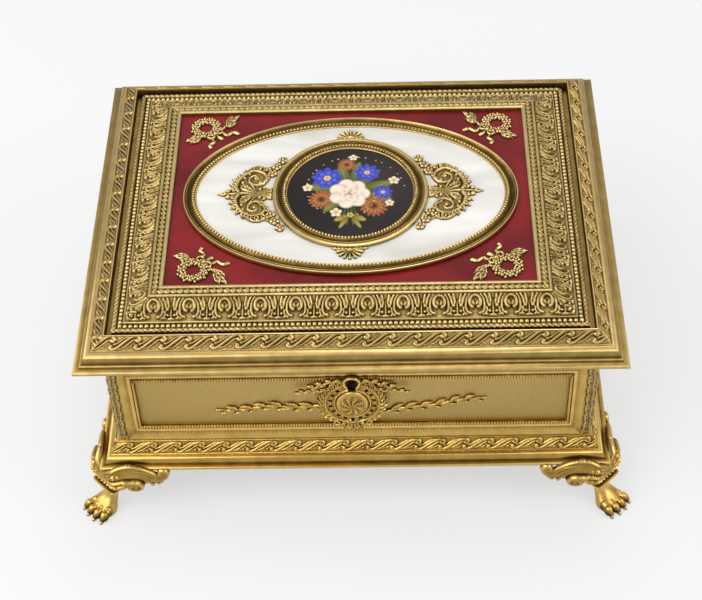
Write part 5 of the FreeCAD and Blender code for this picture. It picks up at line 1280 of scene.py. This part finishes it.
dotTile = makeTile(trim["dots"], trim["dotBand"], drawDots, cell=0.1, scale=0.6)
wallBeadTile = makeBeads(trim["beadBand"], trim["beads"], trim["beadHigh"], trim["slim"])
middle = (trim["low"] + trim["high"]) / 2
# listed tones are painted light: highlights on the bands, painted shade in the dots and down the drop to the
# panel
trimLines = section([
    ([(1.0, -1.4), (1.0, 0.22), (1.3, 0.14), (3.8, -0.25), (4.0, -0.3)], (0.5, 0.72, 0.72, 0.66, 0.6)),
    (fine([(4.1, -0.34), (5.6, -0.58)], rowGap["dots"]), 0.6, dotTile),
    ([(5.8, -0.55), (6.0, -0.45), (7.5, -0.7), (7.7, -0.95)], (0.6, 0.85, 0.8, 0.2)),
    (fine([(8.0, -0.60), (9.7, -0.60)], rowGap["wallBeads"]), 0.4, wallBeadTile),
    ([(9.95, -1.1), (9.95, -2.55), (1.2, -2.55)], (0.25, 0.1, 0.1))])
tall = trim["high"] - trim["low"]
for name, c, s in sides:
    low, high = nodeBox(f"wall_{name}")
    wide = (high - low)[0 if c else 1]
    stretch = trim["stile"], trim["rail"]
    points, faces, tone = mitredRing(wide, tall, 0, *trimLines, trim["step"], 0.5, stretch)
    x, z, out = points.T
    if name == "front":  # notched over the keyhole
        notch = np.clip((trim["keyHalf"] - np.abs(x)) / 0.5, 0, 1) * (z > trim["keyFoot"])
        z = z + notch * np.clip(trim["keyTop"] - z, 0, None)
    y = -sideReach(low, high, c, s) - out
    points = np.stack([x * c - y * s, x * s + y * c, middle + z], 1)
    putGilt(f"wall_trim_{name}", (points, faces, tone), "cast", "case")

# pilaster leaves: pairs of acanthus leaves climb the canted corner about a twisted ridge
pilaster = {"low": 45.2, "high": 101.4, "half": 3.7, "pairs": 7, "cell": 0.28, "cant": 2.75, "sink": 0.2}
board = newBoard(-pilaster["half"] - 0.6, pilaster["half"] + 0.6, pilaster["low"], pilaster["high"],
                 pilaster["cell"])
ridge = np.arange(pilaster["low"] + 1, pilaster["high"] - 0.8, 0.4)
rib(board, [(0.5 * math.sin(0.55 * z), z) for z in ridge], 1.3, 2.0, 0.3)
for k in range(pilaster["pairs"]):
    z = pilaster["low"] + 0.6 + 7.6 * k
    for s in (-1, 1):
        leaf(board, curve([(s * 0.4, z), (s * 2.6, z + 4.0), (s * 2.3, z + 8.4), (s * 1.0, z + 10.6)], 40),
             1.5, 1.9, veins=5, belly=0.8)
    bump(board, 0.5 * math.sin(0.55 * z), z + 3.8, 0.9, 1.8, 2.6)
cutAway(board, np.minimum(board["y"] - pilaster["low"], pilaster["high"] - board["y"]))
flat = nodeBox("pilaster_back_right")[1][:2] - pilaster["cant"]


# reliefs on the canted corners: local u across, z upwards, height along the diagonal; sx and sy mirror them
def onCant(sx, sy):
    r = math.sqrt(0.5)
    return lambda u, z, h: np.stack([sx * (flat[0] + r * (h - pilaster["sink"]) - r * u),
                                     sy * (flat[1] + r * (h - pilaster["sink"]) + r * u), z], -1)


for name, sx, sy in corners:
    putRelief(f"pilaster_leaves_{name}", board, onCant(sx, sy), "relief", "case", (), 1.6, sx * sy < 0)
print("walls done")

dress("plain", *(f"wall_{name}" for name, c, s in sides), *(f"pilaster_{name}" for name, sx, sy in corners))
# the rim moulding takes the gilt darkened as painted shade
dress("rim", "rim_moulding")
dress("stipple", *(f"panel_{name}" for name, c, s in sides))
dress("brass", "hinge_case_leaves", "hinge_lid_leaves", "hinge_pins", "lock_case", "lock_cap")
dress("steel", "lock_bolt", "lid_staple")
dress("screw", "foot_screws", "hinge_case_screws", "hinge_lid_screws", "lock_screws")
dress("wood", "floor_plate", "lid_core")

# velvet pads: a closed slab of two grids joined by a rim, its sides drawn in between the corners; the back
# and the sewn edge are held, pressure swells the rest, and no point goes further than the pad's own limit
pads = {"cell": 5.0, "pressure": 4.0, "frames": 20, "sewn": 0.34, "face": 0.62, "inside": 0.05}
wallPad = {"thick": 4.0, "drawn": 0.5, "swell": 1.4, "fill": 0.7, "lockHalf": 25.8, "lockFoot": 76.4}
flatPad = {"inset": 0.3, "drawn": 1.2, "swell": 0.34, "fill": 0.6}


# grid lines about a cell apart, with one at every stop
def slabLines(stops):
    parts = [np.linspace(a, b, max(2, round((b - a) / pads["cell"]) + 1))[:-1]
             for a, b in zip(stops[:-1], stops[1:])]
    return np.append(np.concatenate(parts), stops[-1])


# u along, v across, w from the back to the face; gap is a notch (half length, from v) out of the upper edge
def padShell(us, vs, thick, drawn, gap=None):
    u, v = np.meshgrid(us, vs, indexing="ij")
    rows, columns = u.shape
    keep = np.ones((rows - 1, columns - 1), bool)
    if gap:
        midU, midV = (u[1:, 1:] + u[:-1, :-1]) / 2, (v[1:, 1:] + v[:-1, :-1]) / 2
        keep[(np.abs(midU) < gap[0]) & (midV > gap[1])] = False
    p, q = u / us[-1], v / vs[-1]
    flatU = u * (1 - drawn / us[-1] * np.cos(np.pi * q / 2))
    flatV = v * (1 - drawn / vs[-1] * np.cos(np.pi * p / 2))
    wide = np.pad(keep, 1)
    count = wide[1:, 1:].astype(int) + wide[:-1, 1:] + wide[1:, :-1] + wide[:-1, :-1]
    edge = (count > 0) & (count < 4)
    back = np.stack([flatU, flatV, 0 * u], -1)
    face = np.stack([flatU, flatV, thick * np.where(edge, pads["sewn"], pads["face"])], -1)
    cells = gridFaces(rows, columns).reshape(rows - 1, columns - 1, 4)[keep]
    total = rows * columns
    sides = np.concatenate([cells[:, [k, (k + 1) % 4]] for k in range(4)])
    codes = sides.min(1) * total + sides.max(1)
    once = np.isin(codes, np.unique(codes)[np.unique(codes, return_counts=True)[1] == 1])
    a, b = sides[once].T
    rim = np.stack([b, a, a + total, b + total], 1)
    faces = np.vstack([cells[:, ::-1], cells + total, rim])
    used, faces = np.unique(faces, return_inverse=True)
    held = np.concatenate([np.ones(total, bool), edge.ravel()])
    return np.vstack([back.reshape(-1, 3), face.reshape(-1, 3)])[used], faces.reshape(-1, 4), held[used]


# each pad: name, body, points, faces, held points, swell and fill; a wall's u runs along it, v up and w into
# the case, and the front one is cut out round the lock
padding = []
for name, c, s in sides:
    low, high = nodeBox(f"lining_{name}")
    half, rise, level = (high - low)[0 if c else 1] / 2, (high - low)[2] / 2, (low[2] + high[2]) / 2
    gap = (wallPad["lockHalf"], wallPad["lockFoot"] - level) if name == "front" else None
    us = slabLines([-half, -gap[0], gap[0], half] if gap else [-half, half])
    vs = slabLines([-rise, gap[1], rise] if gap else [-rise, rise])
    points, faces, held = padShell(us, vs, wallPad["thick"], wallPad["drawn"], gap)
    u, v, w = points.T
    y = w - sideReach(low, high, c, s)
    points = np.stack([u * c - y * s, u * s + y * c, level + v], 1)
    padding.append((f"lining_{name}", "case", points, faces, held, wallPad["swell"], wallPad["fill"]))
for name, body, up in (("floor_cushion", "case", 1), ("lid_pad", "lid", -1)):
    low, high = nodeBox(name)
    mid, half = (low + high) / 2, (high - low) / 2
    us, vs = (slabLines([-side + flatPad["inset"], side - flatPad["inset"]]) for side in half[:2])
    points, faces, held = padShell(us, vs, 2 * half[2], flatPad["drawn"])
    u, v, w = points.T
    points = np.stack([mid[0] + u, mid[1] + up * v, (low[2] + w) if up > 0 else (high[2] - w)], 1)
    padding.append((name, body, points, faces, held, flatPad["swell"] * 2 * half[2], flatPad["fill"]))


# cloth under pressure with its back and sewn edge held; a move of length d is cut to swell * tanh(d / swell)
def swellPads():
    copies = []
    for name, body, points, faces, held, swell, fill in padding:
        mesh = bpy.data.meshes.new(f"{name}_cloth")
        mesh.from_pydata((points * mm).tolist(), [], faces.tolist())
        copy = bpy.data.objects.new(mesh.name, mesh)
        bpy.context.scene.collection.objects.link(copy)
        copy.vertex_groups.new(name="held").add(np.flatnonzero(held).tolist(), 1.0, "REPLACE")
        cloth = copy.modifiers.new("cloth", "CLOTH")
        cloth.settings.use_pressure = True
        cloth.settings.uniform_pressure_force = pads["pressure"]
        cloth.settings.vertex_group_mass = "held"
        cloth.settings.effector_weights.gravity = 0
        cloth.point_cache.frame_end = pads["frames"]
        copies.append(copy)
    for step in range(1, pads["frames"] + 1):
        bpy.context.scene.frame_set(step)
    view = bpy.context.evaluated_depsgraph_get()
    shapes = []
    for copy, (name, body, points, faces, held, swell, fill) in zip(copies, padding):
        grown = np.empty(3 * len(points), np.float32)
        copy.evaluated_get(view).data.vertices.foreach_get("co", grown)
        move = grown.reshape(-1, 3) / mm - points
        far = np.linalg.norm(move, axis=1, keepdims=True) + 1e-9
        low, high = nodeBox(name)
        swollen = points + move / far * swell * np.tanh(far / swell)
        shapes.append(np.clip(swollen, low + pads["inside"], high - pads["inside"]))
    for copy in copies:
        bpy.data.objects.remove(copy)
    bpy.context.scene.frame_set(1)
    return shapes


shapes = swellPads()
for shape, (name, body, points, faces, held, swell, fill) in zip(shapes, padding):
    piece = putPiece(f"velvet_{name}", shape, [faces], finishes["velvet"], body, (name,),
                     crease=180)
    smooth = piece.modifiers.new("smooth", "SUBSURF")
    smooth.levels = smooth.render_levels = 1
print("pads sewn")
